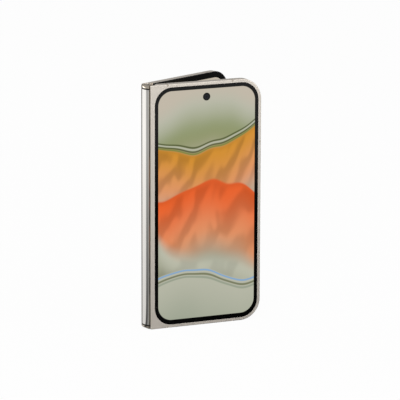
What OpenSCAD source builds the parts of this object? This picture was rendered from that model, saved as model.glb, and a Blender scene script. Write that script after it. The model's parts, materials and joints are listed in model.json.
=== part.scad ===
// Folding phone: two slim halves that close like a book around a polished spine.
// Each half is drawn in plate coordinates: x from the hinge edge, y up the phone,
// z from the outer face towards the inner face. The spine is drawn in the shut pose:
// x away from the spine, y from the front half to the rear half, z up the phone.

/* [Body] */
// Width of one half, from its hinge edge to its free edge
half_w = 75; // [66:0.5:84]
// Height of the phone
body_h = 155.2; // [145:0.1:175]
// Thickness of one half
half_t = 5.1; // [5:0.05:6.5]
// Gap between the two inner faces when shut
face_gap = 0.3; // [0.1:0.05:0.6]
// Corner radius on the free side
corner_r = 13.4; // [9:0.1:18]
// Corner radius beside the hinge
hinge_corner_r = 1.2; // [1.1:0.1:2]
// Rounding along the edges of a half
edge_r = 0.45; // [0.2:0.05:0.5]
// Turn of each half away from shut, as drawn
rest_turn = 12.3; // [0:0.1:90]

/* [Outer glass] */
// Width of the metal rim around a glass
rim_w = 1.95; // [1.4:0.05:3]
// Width of the metal strip between the hinge edge and a glass
hinge_strip = 3.2; // [2.6:0.1:5]
// Thickness of a glass
glass_t = 0.55; // [0.4:0.05:0.7]
// How far a glass lies below its rim
glass_sink = 0.05; // [0:0.01:0.1]
// Gap around a glass
glass_gap = 0.05; // [0.02:0.01:0.15]
// Width of the ledge that carries a glass
ledge_w = 1.3; // [0.8:0.1:1.6]
// Thickness of the cover screen under its glass
cover_screen_t = 0.6; // [0.4:0.05:0.8]

/* [Inner screen] */
// Thickness of the folding screen
screen_t = 0.65; // [0.5:0.05:0.8]
// How far the folding screen lies below the inner face
screen_sink = 0.2; // [0.1:0.05:0.3]
// Metal rim outside the bezel
bezel_rim = 1; // [0.7:0.05:1.4]
// Width of the bezel
bezel_w = 2.4; // [1.6:0.1:3]
// Gap around the folding screen and the bezel
screen_gap = 0.05; // [0.02:0.01:0.15]
// Thickness of the plate that carries the folding screen
mid_t = 0.3; // [0.2:0.05:0.4]
// Distance from the hinge edge at which the screen begins to bend
bend_start = 5.6; // [5.4:0.1:6.5]
// Tilt of each support plate when shut
shut_tilt = 16; // [13:0.5:18]
// Thickness of a support plate
plate_t = 0.2; // [0.1:0.05:0.25]
// Length of a support plate
plate_len = 3.2; // [2.4:0.1:3.4]

/* [Spine] */
// How far the spine stands out past the halves when shut
spine_out = 2.1; // [1.7:0.05:2.3]
// Radius of the spine's outer face
spine_face_r = 6; // [5.6:0.1:8]
// Wall of the spine cover
spine_wall = 0.6; // [0.4:0.05:0.7]
// Wall of a half that slides over the spine
lip_t = 0.5; // [0.3:0.05:0.6]
// Gap between the spine and that wall when flat
spine_gap = 0.2; // [0.1:0.05:0.35]
// Gap beside the spine when shut
spine_side_gap = 1.05; // [0.5:0.05:1.3]
// Gap from each half to the middle line when flat
open_gap = 0.1; // [0.05:0.05:0.3]
// Gap between the spine's ends and the halves' ends
spine_end_gap = 0.2; // [0.1:0.05:0.5]
// Length of each end cap
cap_len = 1.8; // [1.8:0.1:3]
// Rounding of the end caps
cap_r = 1.7; // [1:0.1:1.8]
// Thickness of the seal between an end cap and the spine cover
seal_t = 0.85; // [0.4:0.05:1]
// Half width of the block that closes the fold at each end
block_half_w = 2.6; // [2:0.1:2.8]

/* [Hinge] */
// Height of the lower hinge unit, to its middle
hinge_low = 33; // [24:0.5:45]
// Inner radius of a hook
hook_in_r = 1.15; // [1.05:0.05:1.25]
// Thickness of a hook
hook_t = 0.75; // [0.6:0.05:0.8]
// Running gap between a hook and its track
track_gap = 0.03; // [0.02:0.01:0.08]
// Length of a hook along the spine
hook_len = 6; // [4:0.1:8]
// Side gap of everything that turns in a bracket
side_gap = 0.1; // [0.05:0.01:0.2]
// Thickness of a bracket's cheeks
cheek_t = 1.2; // [0.8:0.1:2]
// Thickness of a swing arm
arm_t = 0.7; // [0.5:0.05:0.8]
// Reach of a swing arm into its half
arm_reach = 11.5; // [10.5:0.1:13]
// Height of the lands that the swing arms are screwed to
land_h = 0.45; // [0.3:0.05:0.5]
// Size of the gear teeth
gear_module = 0.1; // [0.09:0.005:0.11]
// Length of a toothed arc
arc_len = 3.1; // [2:0.1:4]
// Radius of a pinion's shaft
shaft_r = 0.2; // [0.15:0.01:0.22]

/* [Buttons and ports] */
// Width of the two side buttons
button_w = 2.3; // [1.8:0.1:2.6]
// How far the side buttons stand out
button_out = 0.35; // [0.2:0.05:0.6]
// Travel of the side buttons
button_travel = 0.2; // [0.1:0.05:0.3]
// Gap around the side buttons
button_gap = 0.08; // [0.05:0.01:0.15]
// Height of the power button's middle above the phone's middle
power_up = 6.4; // [-8:0.1:9]
// Length of the power button
power_len = 14; // [10:0.5:18]
// Height of the volume rocker's middle above the phone's middle
volume_up = 32.4; // [29:0.1:36]
// Length of the volume rocker
volume_len = 22; // [16:0.5:26]
// Distance of the card tray from the hinge edge, to its middle
tray_u = 32; // [24:0.5:40]
// Width of the card tray
tray_w = 12.4; // [11:0.1:14]
// Thickness of the card tray
tray_t = 1.2; // [1:0.05:1.4]
// Length of the card tray
tray_len = 18; // [14:0.5:20]
// Distance of the charging socket from the middle of its half, towards the free edge
socket_off = 0; // [-4:0.5:2]
// Width of the charging socket's mouth
socket_w = 8.94; // [8.5:0.02:9.2]
// Height of the charging socket's mouth
socket_h = 2.56; // [2.4:0.02:2.8]
// Depth of the charging socket
socket_depth = 6.5; // [5:0.1:8]

/* [Cameras] */
// Distance of the cover camera from the hinge edge
cover_cam_u = 37.9; // [30:0.1:45]
// Distance of the cover camera from the top edge
cover_cam_top = 9.4; // [7:0.1:14]
// Radius of the cover camera's window
cover_cam_r = 2.5; // [1.5:0.1:3]
// Thickness of the camera island
island_t = 1.6; // [1:0.1:2.5]
// Width of the camera island
island_w = 16; // [14:0.5:20]
// Length of the camera island
island_len = 46; // [44:0.5:52]
// Corner radius of the camera island
island_r = 7; // [4:0.1:7]
// Gap between the camera island and the free edge
island_edge = 5; // [4:0.1:8]
// Gap between the camera island and the top edge
island_top = 9; // [6:0.1:14]
// Radius of a camera ring
ring_r = 6; // [5:0.1:6.5]
// Distance between two cameras
cam_pitch = 14.6; // [13.2:0.1:16]
// Height of a camera ring above the island
ring_out = 0.5; // [0.2:0.1:0.8]
// Distance of the inner camera from the free edge
inner_cam_edge = 16; // [10:0.5:24]
// Distance of the inner camera from the top edge
inner_cam_top = 9; // [7.5:0.1:9.5]
// Radius of the inner camera's window
inner_cam_r = 1.9; // [1.2:0.1:2.2]

/* [Hidden] */
$fn = 64;
// Facets of the wide curves of the spine
wide_fn = 128;
// Reach of a cut past the face that it opens
over = 1;
// Overlap of shapes that are joined into one
eps = 0.01;
// Gap between parts that are fixed side by side
part_gap = 0.1;

// Turning axes and the room that they leave
outer_y = half_t + face_gap / 2;
axis_sum = outer_y - lip_t - spine_gap - spine_out;
axis_y = (axis_sum + open_gap) / 2;
axis_x = (axis_sum - open_gap) / 2;
axis_d = outer_y - axis_y;
spine_half_w = outer_y - lip_t - spine_side_gap;
spine_cx = spine_face_r - spine_out;
spine_in_r = spine_face_r - spine_wall;
pocket_r = axis_d - lip_t;

// Levels through the thickness of a half
ledge_d = glass_sink + glass_t;
screen_top = half_t - screen_sink;
screen_back = screen_top - screen_t;
glue_t = 0.05;
mid_top = screen_back - glue_t;
mid_back = mid_top - mid_t;
pivot_d = mid_top - plate_t / 2;
cover_screen_back = ledge_d + cover_screen_t;
// Depth of the room behind the screen for the tilted support plates
plate_room = 0.5;

// Outlines inside a half
glass_r = corner_r - rim_w;
wall_w = rim_w + ledge_w;
// Width of the rail between the spine's room and the inside of a half
rail_w = 1.95;
pocket_end = axis_x + pocket_r;
cavity_u = pocket_end + rail_w;
// Width of the bezel's seat on the frame, outside the screen
bezel_seat = 0.6;
screen_edge = bezel_rim + screen_gap + bezel_seat;
// Room that the bezel leaves for the block that closes the fold
block_room = 1.95;
bezel_start = axis_x + block_room;
// Width of the core of a slab with rounded edges
slab_core = 0.5;

// Swing arms: levels of the flat part and of the hook
arm_top = mid_back - land_h;
arm_back = arm_top - arm_t;
hook_out_r = hook_in_r + hook_t;
// Angle that a hook's root keeps above the level of its axis
hook_past = 6;
arm_plate_u = cavity_u + part_gap;
// Inner radius of a toothed arc
arc_in_r = 0.9;
// Profile of an arm between its hook and its plate, from the turning axis
hook_neck = 0.4;
arc_neck = 0.6;
neck_run = 0.5;
neck_drop = 0.05;
under_end = 1.85;
inside_start = 1.05;
inside_end = 2.85;
plate_lap = 0.5;

// Screws of the swing arms
screw_r = 0.5;
screw_head_r = 0.95;
screw_head_t = 0.35;
screw_fit = 0.02;
screw_short = 0.05;
screw_end_gap = 1.4;
slot_len = 1.2;
slot_w = 0.22;
slot_deep = 0.2;
screw_u = (arm_plate_u + arm_reach) / 2;

// Gears
pinion_teeth = 8;
arc_teeth = 30;
pinion_r = gear_module * pinion_teeth / 2;
arc_r = gear_module * arc_teeth / 2;
tooth_add = 0.8 * gear_module;
tooth_ded = 1 * gear_module;
backlash = 0.25 * gear_module;
// Width of a tooth at its foot and at its tip, as a share of that at the pitch circle
tooth_foot = 1.25;
tooth_tip = 0.5;
pinion_x = axis_x - sqrt(pow(arc_r + pinion_r, 2) - pow(axis_y - 3 * pinion_r, 2));
gear_ratio = arc_teeth / pinion_teeth;
// Gap between the two toothed arcs of a hinge unit
arc_part = 0.4;
gearbox_len = 2 * arc_len + arc_part + 2 * side_gap;
tooth_step = 360 / pinion_teeth;

// One hinge unit, along the spine from its middle
finger_from = -(gearbox_len / 2 + cheek_t + side_gap + hook_len);
arc_from = -(gearbox_len / 2 - side_gap);
finger_end = arc_from + arc_len;
screw_v = [finger_from + hook_len / 2, finger_end - screw_end_gap];

// Bracket, in the shut pose
bracket_top = 1.1;
bracket_half_w = 3.4;
bracket_fit = 0.05;
// Level at which the spine's outer face ends
edge_top = -0.2;
// Gap between the shut screen and the brackets
well_gap = 0.15;
// Gap between the bent screen and the end caps
bend_end_gap = 0.15;
bend_end_v = spine_end_gap + cap_len + seal_t + bend_end_gap;
// Points on each half of the bent screen's arc
bend_steps = 24;

// Places of the hinge units along the spine
hinge_v = [hinge_low, body_h / 2, body_h - hinge_low];

// Bands of plastic that part the metal rim
band_w = 1.1;
band_depth = 1.4;
band_hinge_u = 11.9;
band_free_u = 19.6;
band_end_v = 40.5;
band_u = [band_hinge_u, half_w - band_free_u];
band_v = [band_end_v, body_h - band_end_v];

// Boards and batteries
board_t = 0.6;
board_h = 26;
board_back = mid_back - part_gap;
board_short = 2;
board_edge = 7;
main_board_h = 58;
main_board_v = body_h - wall_w - main_board_h;
bay_gap = 0.6;
bay_u = arm_reach + bay_gap;
bay_w = half_w - wall_w - part_gap - bay_u;
battery_v = 27;
battery_gap = 1;
battery_r = 2;
shield_t = 1.4;
shield_in = 2;

// Cover camera and earpiece
cover_cam_v = body_h - cover_cam_top;
cam_barrel_t = 2.2;
cam_barrel_wall = 0.9;
cam_barrel_sink = 0.4;
cam_body_w = 6.4;
cam_body_t = 1.6;
cam_board_r = 5;
ear_side = 8;
ear_size = [12, 4, 1.9];

// Card tray
tray_d = half_t / 2;
tray_gap = 0.06;
tray_lip = 1.1;
tray_wall = 0.8;
tray_floor = 0.3;
tray_front = wall_w + 1;
seal_w = 0.5;
cage_t = 0.2;
pin_hole_r = 0.35;
pin_hole_deep = 0.9;
pin_hole_edge = 1.2;

// Magnets, batteries' neighbours and the coil
magnet_size = [0.8, 9, 1.4];
magnet_gap = 0.2;
magnet_low = 20;
magnet_high = 37;
magnet_v = [magnet_low, body_h - magnet_high];
coil_turns = 4;
coil_r = 17;
coil_pitch = 2;
coil_w = 1.5;
coil_t = 0.3;
speaker_size = [14, 14];
speaker_gap = 0.3;
motor_size = [12, 5, 2.6];
motor_gap = 0.5;
motor_low = 3;

// Camera island
island_round = 0.4;
ring_w = 1;
ring_recess = 0.5;
ring_fit = 0.02;
ring_ledge = 0.6;
window_t = 0.5;
window_sink = 0.25;
window_gap = 0.05;
lens_tip_r = 1.2;
lens_cone = 1.8;
flash_r = 2;
flash_t = 0.15;
flash_side = 4.5;
cam_hole_r = ring_r - ring_w;
island_u = half_w - island_edge - island_w;
island_v = body_h - island_top - island_len;
cam_u = island_u + island_w / 2;
cam_mid_v = island_v + island_len / 2;
ring_seat = glass_sink - island_t + ring_recess;
ring_top = ring_seat - ring_recess - ring_out;
window_top = ring_top + window_sink;
lens_top = window_top + window_t + window_gap;
lens_gap = 0.3;
ring_chamfer = 0.15;

// Inner camera
inner_cam_u = half_w - inner_cam_edge;
inner_cam_v = body_h - inner_cam_top;
inner_cam_t = 1.6;
inner_cam_sink = 0.05;
inner_cam_room = 0.4;
inner_cam_board_r = 4;

// Side buttons
power_v = body_h / 2 + power_up;
volume_v = body_h / 2 + volume_up;
button_d = half_t / 2;
button_deep = 2.1;
flange_w = 0.35;
flange_t = 0.35;
mouth_t = 0.7;
switch_t = 0.35;
switch_in = 0.2;
press_gap = 0.05;
power_slack = 0.02;

// Charging socket, loudspeaker slots and microphones
socket_u = half_w / 2 + socket_off;
socket_d = (ledge_d + mid_back) / 2;
shell_t = 0.3;
shell_fit = 0.02;
shell_sink = 0.3;
tongue_size = [6.7, socket_depth, 0.7];
tongue_sink = 1.3;
speaker_edge = 20.5;
speaker_u = half_w - speaker_edge;
slot_pitch = 3.4;
sound_slot = [2.6, 1.1];
mic_r = 0.4;
mic_side = 12;

// Fold of the screen: each half of the bend has the same length at every turn
bend_len = bend_start + open_gap;
screen_in_y = outer_y - screen_top;

function spin(p, c, a) = [
    c[0] + (p[0] - c[0]) * cos(a) - (p[1] - c[1]) * sin(a),
    c[1] + (p[0] - c[0]) * sin(a) + (p[1] - c[1]) * cos(a)
];
function plate_tilt(turn) = shut_tilt * (1 - turn / 90);
function bend_from(turn) = spin([bend_start, -screen_in_y], [axis_x, -axis_y], -turn);
function bend_dir(turn) = 180 + plate_tilt(turn) - turn;
function bend_k(turn) = (bend_dir(turn) - 90) * PI / 180;
function bend_r(turn) = -(bend_from(turn)[1] + bend_len * sin(bend_dir(turn)))
    / (-cos(bend_dir(turn)) - bend_k(turn) * sin(bend_dir(turn)));
function bend_flat(turn) = bend_len - bend_r(turn) * bend_k(turn);
function bend_cx(turn) = bend_from(turn)[0] + bend_flat(turn) * cos(bend_dir(turn))
    + bend_r(turn) * sin(bend_dir(turn));

// Rest pose: middle of the bounding box, seen from above
front_axis = [axis_x, -axis_y];
rear_axis = [axis_x, axis_y];
function rear_point(p) = spin(spin(p, rear_axis, rest_turn), front_axis, rest_turn);
spine_left = spin([spine_cx, 0], front_axis, rest_turn)[0] - spine_face_r;
rear_back = max(rear_point([half_w, outer_y])[1],
    rear_point([cam_u, outer_y + island_t + ring_out])[1]);
rest_right = max(half_w, rear_point([half_w, outer_y - half_t])[0]);
origin_x = -(spine_left + rest_right) / 2;
origin_y = -(rear_back - outer_y) / 2;

// ---- Placing ----

module place_front() {
    translate([origin_x, origin_y - outer_y, 0])
        mirror([0, 1, 0])
        rotate([90, 0, 0])
        children();
}

module place_spine() {
    translate([origin_x + axis_x, origin_y - axis_y, 0])
        rotate([0, 0, rest_turn])
        translate([-axis_x, axis_y, 0])
        children();
}

module place_rear() {
    place_spine()
        translate([axis_x, axis_y, 0])
        rotate([0, 0, rest_turn])
        translate([-axis_x, outer_y - axis_y, 0])
        rotate([90, 0, 0])
        children();
}

// A profile in the thickness of a half, run up the phone
module run_up(from, len) {
    translate([0, from + len, 0])
        rotate([90, 0, 0])
        linear_extrude(len)
        children();
}

// A slab of the spine between two heights
module spine_run(from, len) {
    translate([0, 0, from])
        linear_extrude(len)
        children();
}

// ---- Shared shapes ----

// Rectangle with one radius on the hinge side and one on the free side
module outline(w, h, r_hinge, r_free) {
    translate([r_hinge, 0])
        square([w - r_hinge - r_free, h]);
    translate([0, r_hinge])
        square([r_hinge + eps, h - 2 * r_hinge]);
    translate([w - r_free - eps, r_free])
        square([r_free + eps, h - 2 * r_free]);
    for (v = [r_hinge, h - r_hinge])
        translate([r_hinge, v])
            circle(r_hinge);
    for (v = [r_free, h - r_free])
        translate([w - r_free, v])
            circle(r_free);
}

// Outline of a half, moved in from its edges
module half_outline(in_free, in_hinge, r_hinge) {
    translate([in_hinge, in_free])
        outline(half_w - in_hinge - in_free, body_h - 2 * in_free, r_hinge, corner_r - in_free);
}

module box(u, v, d, size) {
    translate([u, v, d])
        cube(size);
}

// Stadium standing on z
module stadium(len, w, t) {
    linear_extrude(t) {
        square([len - w, w], center = true);
        for (side = [-1, 1])
            translate([side * (len - w) / 2, 0])
                circle(d = w);
    }
}

// Section of a rounded edge: x runs out to the edge, y through the thickness
module edge_section(w, t, r) {
    translate([-w, 0])
        square([w - r, t]);
    translate([-w, r])
        square([w, t - 2 * r]);
    for (d = [r, t - r])
        translate([-r, d])
            circle(r);
}

// Slab with rounded edges: the edge section runs around the outline
module rounded_slab(w, h, r_hinge, r_free, t, r) {
    band = r + slab_core;
    translate([band / 2, band / 2, 0])
        linear_extrude(t)
        outline(w - band, h - band, max(r_hinge - band / 2, eps), r_free - band / 2);
    for (side = [0, 1])
        translate([side * w, side == 0 ? r_hinge : h - r_free, 0])
            rotate([90, 0, side == 0 ? 180 : 0])
            linear_extrude(h - 2 * (side == 0 ? r_hinge : r_free))
            edge_section(band, t, r);
    translate([r_hinge, h, 0])
        rotate([90, 0, 90])
        linear_extrude(w - r_hinge - r_free)
        edge_section(band, t, r);
    translate([w - r_free, 0, 0])
        rotate([90, 0, -90])
        linear_extrude(w - r_hinge - r_free)
        edge_section(band, t, r);
    for (c = [[r_hinge, r_hinge, 180, r_hinge], [r_hinge, h - r_hinge, 90, r_hinge],
              [w - r_free, r_free, -90, r_free], [w - r_free, h - r_free, 0, r_free]])
        translate([c[0], c[1], 0])
            rotate([0, 0, c[2]])
            rotate_extrude(angle = 90)
            translate([c[3], 0])
            edge_section(band, t, r);
}

module half_slab() {
    rounded_slab(half_w, body_h, hinge_corner_r, corner_r, half_t, edge_r);
}

// Room in a half for the spine, and for the screen where it bends
module hinge_pocket() {
    run_up(-over, body_h + 2 * over) {
        translate([axis_x, axis_d])
            circle(pocket_r);
        translate([-over, lip_t])
            square([over + axis_x, half_t]);
        translate([-over, mid_back - plate_room])
            square([over + bend_start + plate_t / 2 + part_gap, half_t]);
    }
}

// Places of the swing arms: middle of each hinge unit
module at_hinges() {
    for (v = hinge_v)
        translate([0, v, 0])
            children();
}

// One half's frame before the cuts of its own side
module frame_blank() {
    difference() {
        half_slab();
        translate([0, 0, -over])
            linear_extrude(over + ledge_d)
            half_outline(rim_w, hinge_strip, glass_r);
        linear_extrude(mid_back)
            half_outline(wall_w, cavity_u, corner_r - wall_w);
        translate([0, 0, mid_top])
            linear_extrude(half_t)
            half_outline(screen_edge - screen_gap, -over, hinge_corner_r);
        translate([0, 0, screen_top])
            linear_extrude(half_t)
            half_outline(bezel_rim, -over, hinge_corner_r);
        hinge_pocket();
    }
}

// Lands for the swing arms, with the holes for their screws
module arm_lands(side) {
    at_hinges()
        mirror([0, side, 0])
        difference() {
            box(cavity_u - eps, finger_from, arm_top,
                [arm_reach - cavity_u + eps, finger_end - finger_from, land_h + eps]);
            for (v = screw_v)
                translate([screw_u, v, arm_top - over])
                    cylinder(r = screw_r, h = over + land_h);
        }
}

module arm_slots(side) {
    at_hinges()
        mirror([0, side, 0])
        box(0, finger_from - side_gap, arm_back - part_gap - (arm_back - axis_d + hook_out_r),
            [cavity_u + over, finger_end - finger_from + 2 * side_gap,
             arm_top - axis_d + hook_out_r + 2 * part_gap]);
}

module band_cuts(side_bands) {
    for (u = band_u)
        for (v = [0, body_h - band_depth])
            box(u - band_w / 2, v - (v == 0 ? over : 0), -over,
                [band_w, band_depth + over, half_t + 2 * over]);
    if (side_bands)
        for (v = band_v)
            box(half_w - band_depth, v - band_w / 2, -over,
                [band_depth + over, band_w, half_t + 2 * over]);
}

module band_inlays(side_bands) {
    intersection() {
        difference() {
            half_slab();
            translate([0, 0, screen_top])
                linear_extrude(half_t)
                half_outline(bezel_rim, -over, hinge_corner_r);
        }
        band_cuts(side_bands);
    }
}

// ---- Outer glass and screens ----

module outer_glass(holes) {
    difference() {
        translate([0, 0, glass_sink])
            linear_extrude(glass_t)
            half_outline(rim_w + glass_gap, hinge_strip + glass_gap, glass_r - glass_gap);
        if (holes)
            at_cameras()
                translate([0, 0, -over])
                cylinder(r = cam_hole_r, h = over + half_t);
    }
}

module inner_screen() {
    translate([0, 0, screen_back])
        linear_extrude(screen_t)
        intersection() {
            half_outline(screen_edge, -over, hinge_corner_r);
            translate([bend_start, 0])
                square([half_w, body_h]);
        }
}

module bezel() {
    translate([0, 0, screen_top])
        linear_extrude(screen_sink)
        intersection() {
            difference() {
                half_outline(bezel_rim + screen_gap, -over, hinge_corner_r);
                half_outline(bezel_rim + bezel_w, -2 * over, hinge_corner_r);
            }
            translate([bezel_start, 0])
                square([half_w, body_h]);
        }
}

// Support plate under the bend, turned about the line where the bend begins
module support_plate() {
    run_up(bend_end_v, body_h - 2 * bend_end_v)
        translate([bend_start, pivot_d])
        rotate(plate_tilt(rest_turn)) {
            translate([-plate_len, -plate_t / 2])
                square([plate_len, plate_t]);
            circle(plate_t / 2);
        }
}

// ---- Hinge ----

module spine_face() {
    intersection() {
        translate([spine_cx, 0])
            circle(spine_face_r, $fn = wide_fn);
        translate([-spine_out - over, -spine_half_w])
            square([spine_out + over + edge_top, 2 * spine_half_w]);
    }
}

module spine_cover_section() {
    difference() {
        spine_face();
        translate([spine_cx, 0])
            circle(spine_in_r, $fn = wide_fn);
    }
}

// Block at each end of the spine that closes the fold
module block_section() {
    intersection() {
        translate([spine_cx, 0])
            circle(spine_in_r - bracket_fit, $fn = wide_fn);
        translate([-spine_out, -block_half_w])
            square([spine_out + axis_sum - screen_in_y + screen_sink / 2, 2 * block_half_w]);
    }
}

// End cap: the spine's section, rounded over at its end, with the block behind it
module spine_cap() {
    intersection() {
        union() {
            spine_run(0, cap_len)
                spine_face();
            spine_run(0, cap_len + seal_t)
                block_section();
        }
        translate([-spine_out, half_w, 0])
            rotate([90, 0, 0])
            linear_extrude(2 * half_w) {
                translate([cap_r, 0])
                    square([half_w, cap_len + seal_t]);
                translate([0, cap_r])
                    square([half_w, cap_len + seal_t - cap_r]);
                translate([cap_r, cap_r])
                    circle(cap_r);
            }
    }
}

// Full section of a bracket, hollowed for the shut screen
module bracket_section(low) {
    difference() {
        intersection() {
            translate([spine_cx, 0])
                circle(spine_in_r - bracket_fit, $fn = wide_fn);
            translate([-spine_out, -bracket_half_w])
                square([spine_out + low, 2 * bracket_half_w]);
        }
        translate([bend_cx(0), 0])
            circle(bend_r(0) + screen_t + well_gap);
    }
}

// Section where the front half's hook turns: a core inside the hook and a track outside it
module track_section() {
    difference() {
        bracket_section(bracket_top);
        difference() {
            translate([axis_x, -axis_y])
                circle(hook_out_r + track_gap);
            translate([axis_x, -axis_y])
                circle(hook_in_r - track_gap);
        }
        difference() {
            translate([-spine_out - over, -bracket_half_w - over])
                square([spine_out + half_t, bracket_half_w + over - axis_y - hook_out_r * sin(hook_past)]);
            translate([axis_x, -axis_y])
                circle(hook_in_r - track_gap);
        }
    }
}

module pinion_axis(i) {
    translate([pinion_x, (2 * i - 5) * pinion_r])
        children();
}

// One hinge unit: cheeks, two tracks and the gearbox between them
module hinge_unit() {
    box_half = gearbox_len / 2;
    track_len = hook_len + 2 * side_gap;
    difference() {
        union() {
            for (side = [0, 1])
                mirror([0, side, 0])
                    mirror([0, 0, side]) {
                        spine_run(-box_half - cheek_t - track_len, track_len)
                            track_section();
                        for (from = [-box_half - 2 * cheek_t - track_len, -box_half - cheek_t])
                            spine_run(from, cheek_t)
                                bracket_section(bracket_top);
                    }
            spine_run(-box_half, gearbox_len)
                bracket_section(pinion_x - pinion_r - tooth_add - part_gap);
        }
        for (i = [1:4])
            spine_run(-box_half - cheek_t, gearbox_len + 2 * cheek_t)
                pinion_axis(i)
                circle(shaft_r + track_gap);
    }
}

// Tooth of a gear with its middle on the x axis
module tooth(r) {
    pitch_half = PI * gear_module / 4 - backlash / 2;
    root = r - tooth_ded;
    foot = tooth_foot * pitch_half;
    tip = tooth_tip * pitch_half;
    polygon([
        [root - tooth_ded, -foot], [root, -foot], [r, -pitch_half], [r + tooth_add, -tip],
        [r + tooth_add, tip], [r, pitch_half], [root, foot], [root - tooth_ded, foot]
    ]);
}

// Direction from each gear to the next, from the front toothed arc to the rear one
mesh_in = atan2(-3 * pinion_r + axis_y, pinion_x - axis_x);
function mesh_dir(i) = i == 0 ? mesh_in : i == 4 ? 180 - mesh_in : 90;
function pinion_phase(i) = i == 1 ? mesh_in + 180
    : 2 * mesh_dir(i - 1) + 180 - pinion_phase(i - 1) + 180 / pinion_teeth;
function pinion_sign(i) = i % 2 == 1 ? 1 : -1;
last_offset = pinion_phase(4) - mesh_dir(4);
rear_gap = mesh_dir(4) + 180
    - (last_offset - tooth_step * round(last_offset / tooth_step)) / gear_ratio;

module pinion(i) {
    place_spine()
        for (v = hinge_v)
            translate([0, 0, v])
                pinion_axis(i)
                rotate(pinion_phase(i) + pinion_sign(i) * gear_ratio * rest_turn) {
                    translate([0, 0, -gearbox_len / 2 + side_gap])
                        linear_extrude(gearbox_len - 2 * side_gap) {
                            circle(pinion_r - tooth_ded);
                            for (k = [0:pinion_teeth - 1])
                                rotate(k * tooth_step)
                                    intersection() {
                                        tooth(pinion_r);
                                        translate([0, -pinion_r])
                                            square(2 * pinion_r);
                                    }
                        }
                    translate([0, 0, -gearbox_len / 2 - cheek_t + side_gap])
                        cylinder(r = shaft_r, h = gearbox_len + 2 * (cheek_t - side_gap));
                }
}

// Part of a ring that a hook keeps: from below the axis round past the spine side
module hook_sector(r) {
    difference() {
        translate([axis_x - 2 * r, axis_d - 2 * r])
            square([2 * r, 3 * r]);
        translate([axis_x, axis_d])
            polygon([[0, 0], 4 * r * [cos(180 - hook_past), sin(180 - hook_past)], [0, 4 * r]]);
    }
}

module ring(r_in, r_out) {
    difference() {
        translate([axis_x, axis_d])
            circle(r_out);
        translate([axis_x, axis_d])
            circle(r_in);
    }
}

// Arm behind its hook: it passes over the edge of the spine cover
module arm_section(r_in, r_out, neck) {
    low = axis_d - r_out;
    high = axis_d - r_in;
    polygon([
        [axis_x, low], [axis_x + neck, low], [axis_x + neck + neck_run, low - neck_drop],
        [axis_x + under_end, arm_back], [arm_plate_u + plate_lap, arm_back],
        [arm_plate_u + plate_lap, arm_top], [axis_x + inside_end, arm_top],
        [axis_x + inside_start, high - neck_drop], [axis_x, high]
    ]);
}

module hook_section() {
    intersection() {
        ring(hook_in_r, hook_out_r);
        hook_sector(hook_out_r);
    }
    arm_section(hook_in_r, hook_out_r, hook_neck);
}

// Toothed arc: gap_dir is where the pinion's tooth sits when shut
module arc_section(gap_dir) {
    intersection() {
        union() {
            ring(arc_in_r, arc_r - tooth_ded);
            translate([axis_x, axis_d])
                for (k = [0:arc_teeth / 4])
                    rotate(gap_dir + (k + 0.5) * 360 / arc_teeth)
                        tooth(arc_r);
        }
        hook_sector(arc_r + tooth_add);
    }
    arm_section(arc_in_r, arc_r - tooth_ded, arc_neck);
}

module swing_arms(side, gap_dir) {
    at_hinges()
        mirror([0, side, 0])
        difference() {
            union() {
                run_up(finger_from, hook_len)
                    hook_section();
                run_up(arc_from, arc_len)
                    arc_section(gap_dir);
                box(arm_plate_u, finger_from, arm_back,
                    [arm_reach - arm_plate_u, finger_end - finger_from, arm_t]);
            }
            for (v = screw_v)
                translate([screw_u, v, arm_back - over])
                    cylinder(r = screw_r + part_gap, h = arm_t + 2 * over);
        }
}

module arm_screws(side) {
    at_hinges()
        mirror([0, side, 0])
        for (v = screw_v)
            translate([screw_u, v, arm_back])
                difference() {
                    union() {
                        translate([0, 0, -screw_head_t])
                            cylinder(r = screw_head_r, h = screw_head_t);
                        translate([0, 0, -eps])
                            cylinder(r = screw_r - screw_fit, h = arm_t + land_h - screw_short);
                    }
                    translate([0, 0, -screw_head_t - over])
                        for (a = [0, 90])
                            rotate(a)
                            translate([-slot_len / 2, -slot_w / 2, 0])
                            cube([slot_len, slot_w, over + slot_deep]);
                }
}

// ---- Front half ----

module front_frame() {
    color("#d9cfc2")
        place_front()
        difference() {
            union() {
                difference() {
                    frame_blank();
                    arm_slots(0);
                }
                arm_lands(0);
            }
            band_cuts(true);
            tray_slot();
        }
}

module cover_glass() {
    color("#15161a")
        place_front()
        outer_glass(false);
}

module cover_screen() {
    color("#c98a4e")
        place_front()
        difference() {
            translate([0, 0, ledge_d])
                linear_extrude(cover_screen_t)
                half_outline(wall_w + part_gap, cavity_u + part_gap, corner_r - wall_w);
            translate([cover_cam_u, cover_cam_v, 0])
                cylinder(r = cover_cam_r + part_gap, h = half_t);
        }
}

module cover_camera() {
    color("#1b1c22")
        place_front()
        translate([cover_cam_u, cover_cam_v, ledge_d]) {
            difference() {
                cylinder(r = cover_cam_r, h = cam_barrel_t);
                translate([0, 0, -over])
                    cylinder(r = cover_cam_r - cam_barrel_wall, h = over + cam_barrel_sink);
            }
            translate([-cam_body_w / 2, -cam_body_w / 2, cover_screen_t + part_gap])
                cube([cam_body_w, cam_body_w, cam_body_t]);
        }
}

module earpiece() {
    color("#3a3b40")
        place_front()
        box(cover_cam_u + ear_side, body_h - wall_w - part_gap - ear_size[1],
            cover_screen_back + part_gap, ear_size);
}

module front_board() {
    color("#2f6b4a")
        place_front()
        difference() {
            box(bay_u, body_h - wall_w - board_h, board_back - board_t,
                [bay_w - board_edge, board_h - board_short, board_t]);
            translate([cover_cam_u, cover_cam_v, 0])
                cylinder(r = cam_board_r, h = half_t);
        }
}

module battery(to, low) {
    translate([bay_u, battery_v, low])
        linear_extrude(board_back - low)
        outline(bay_w - battery_gap, to - battery_v, battery_r, battery_r);
}

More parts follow.
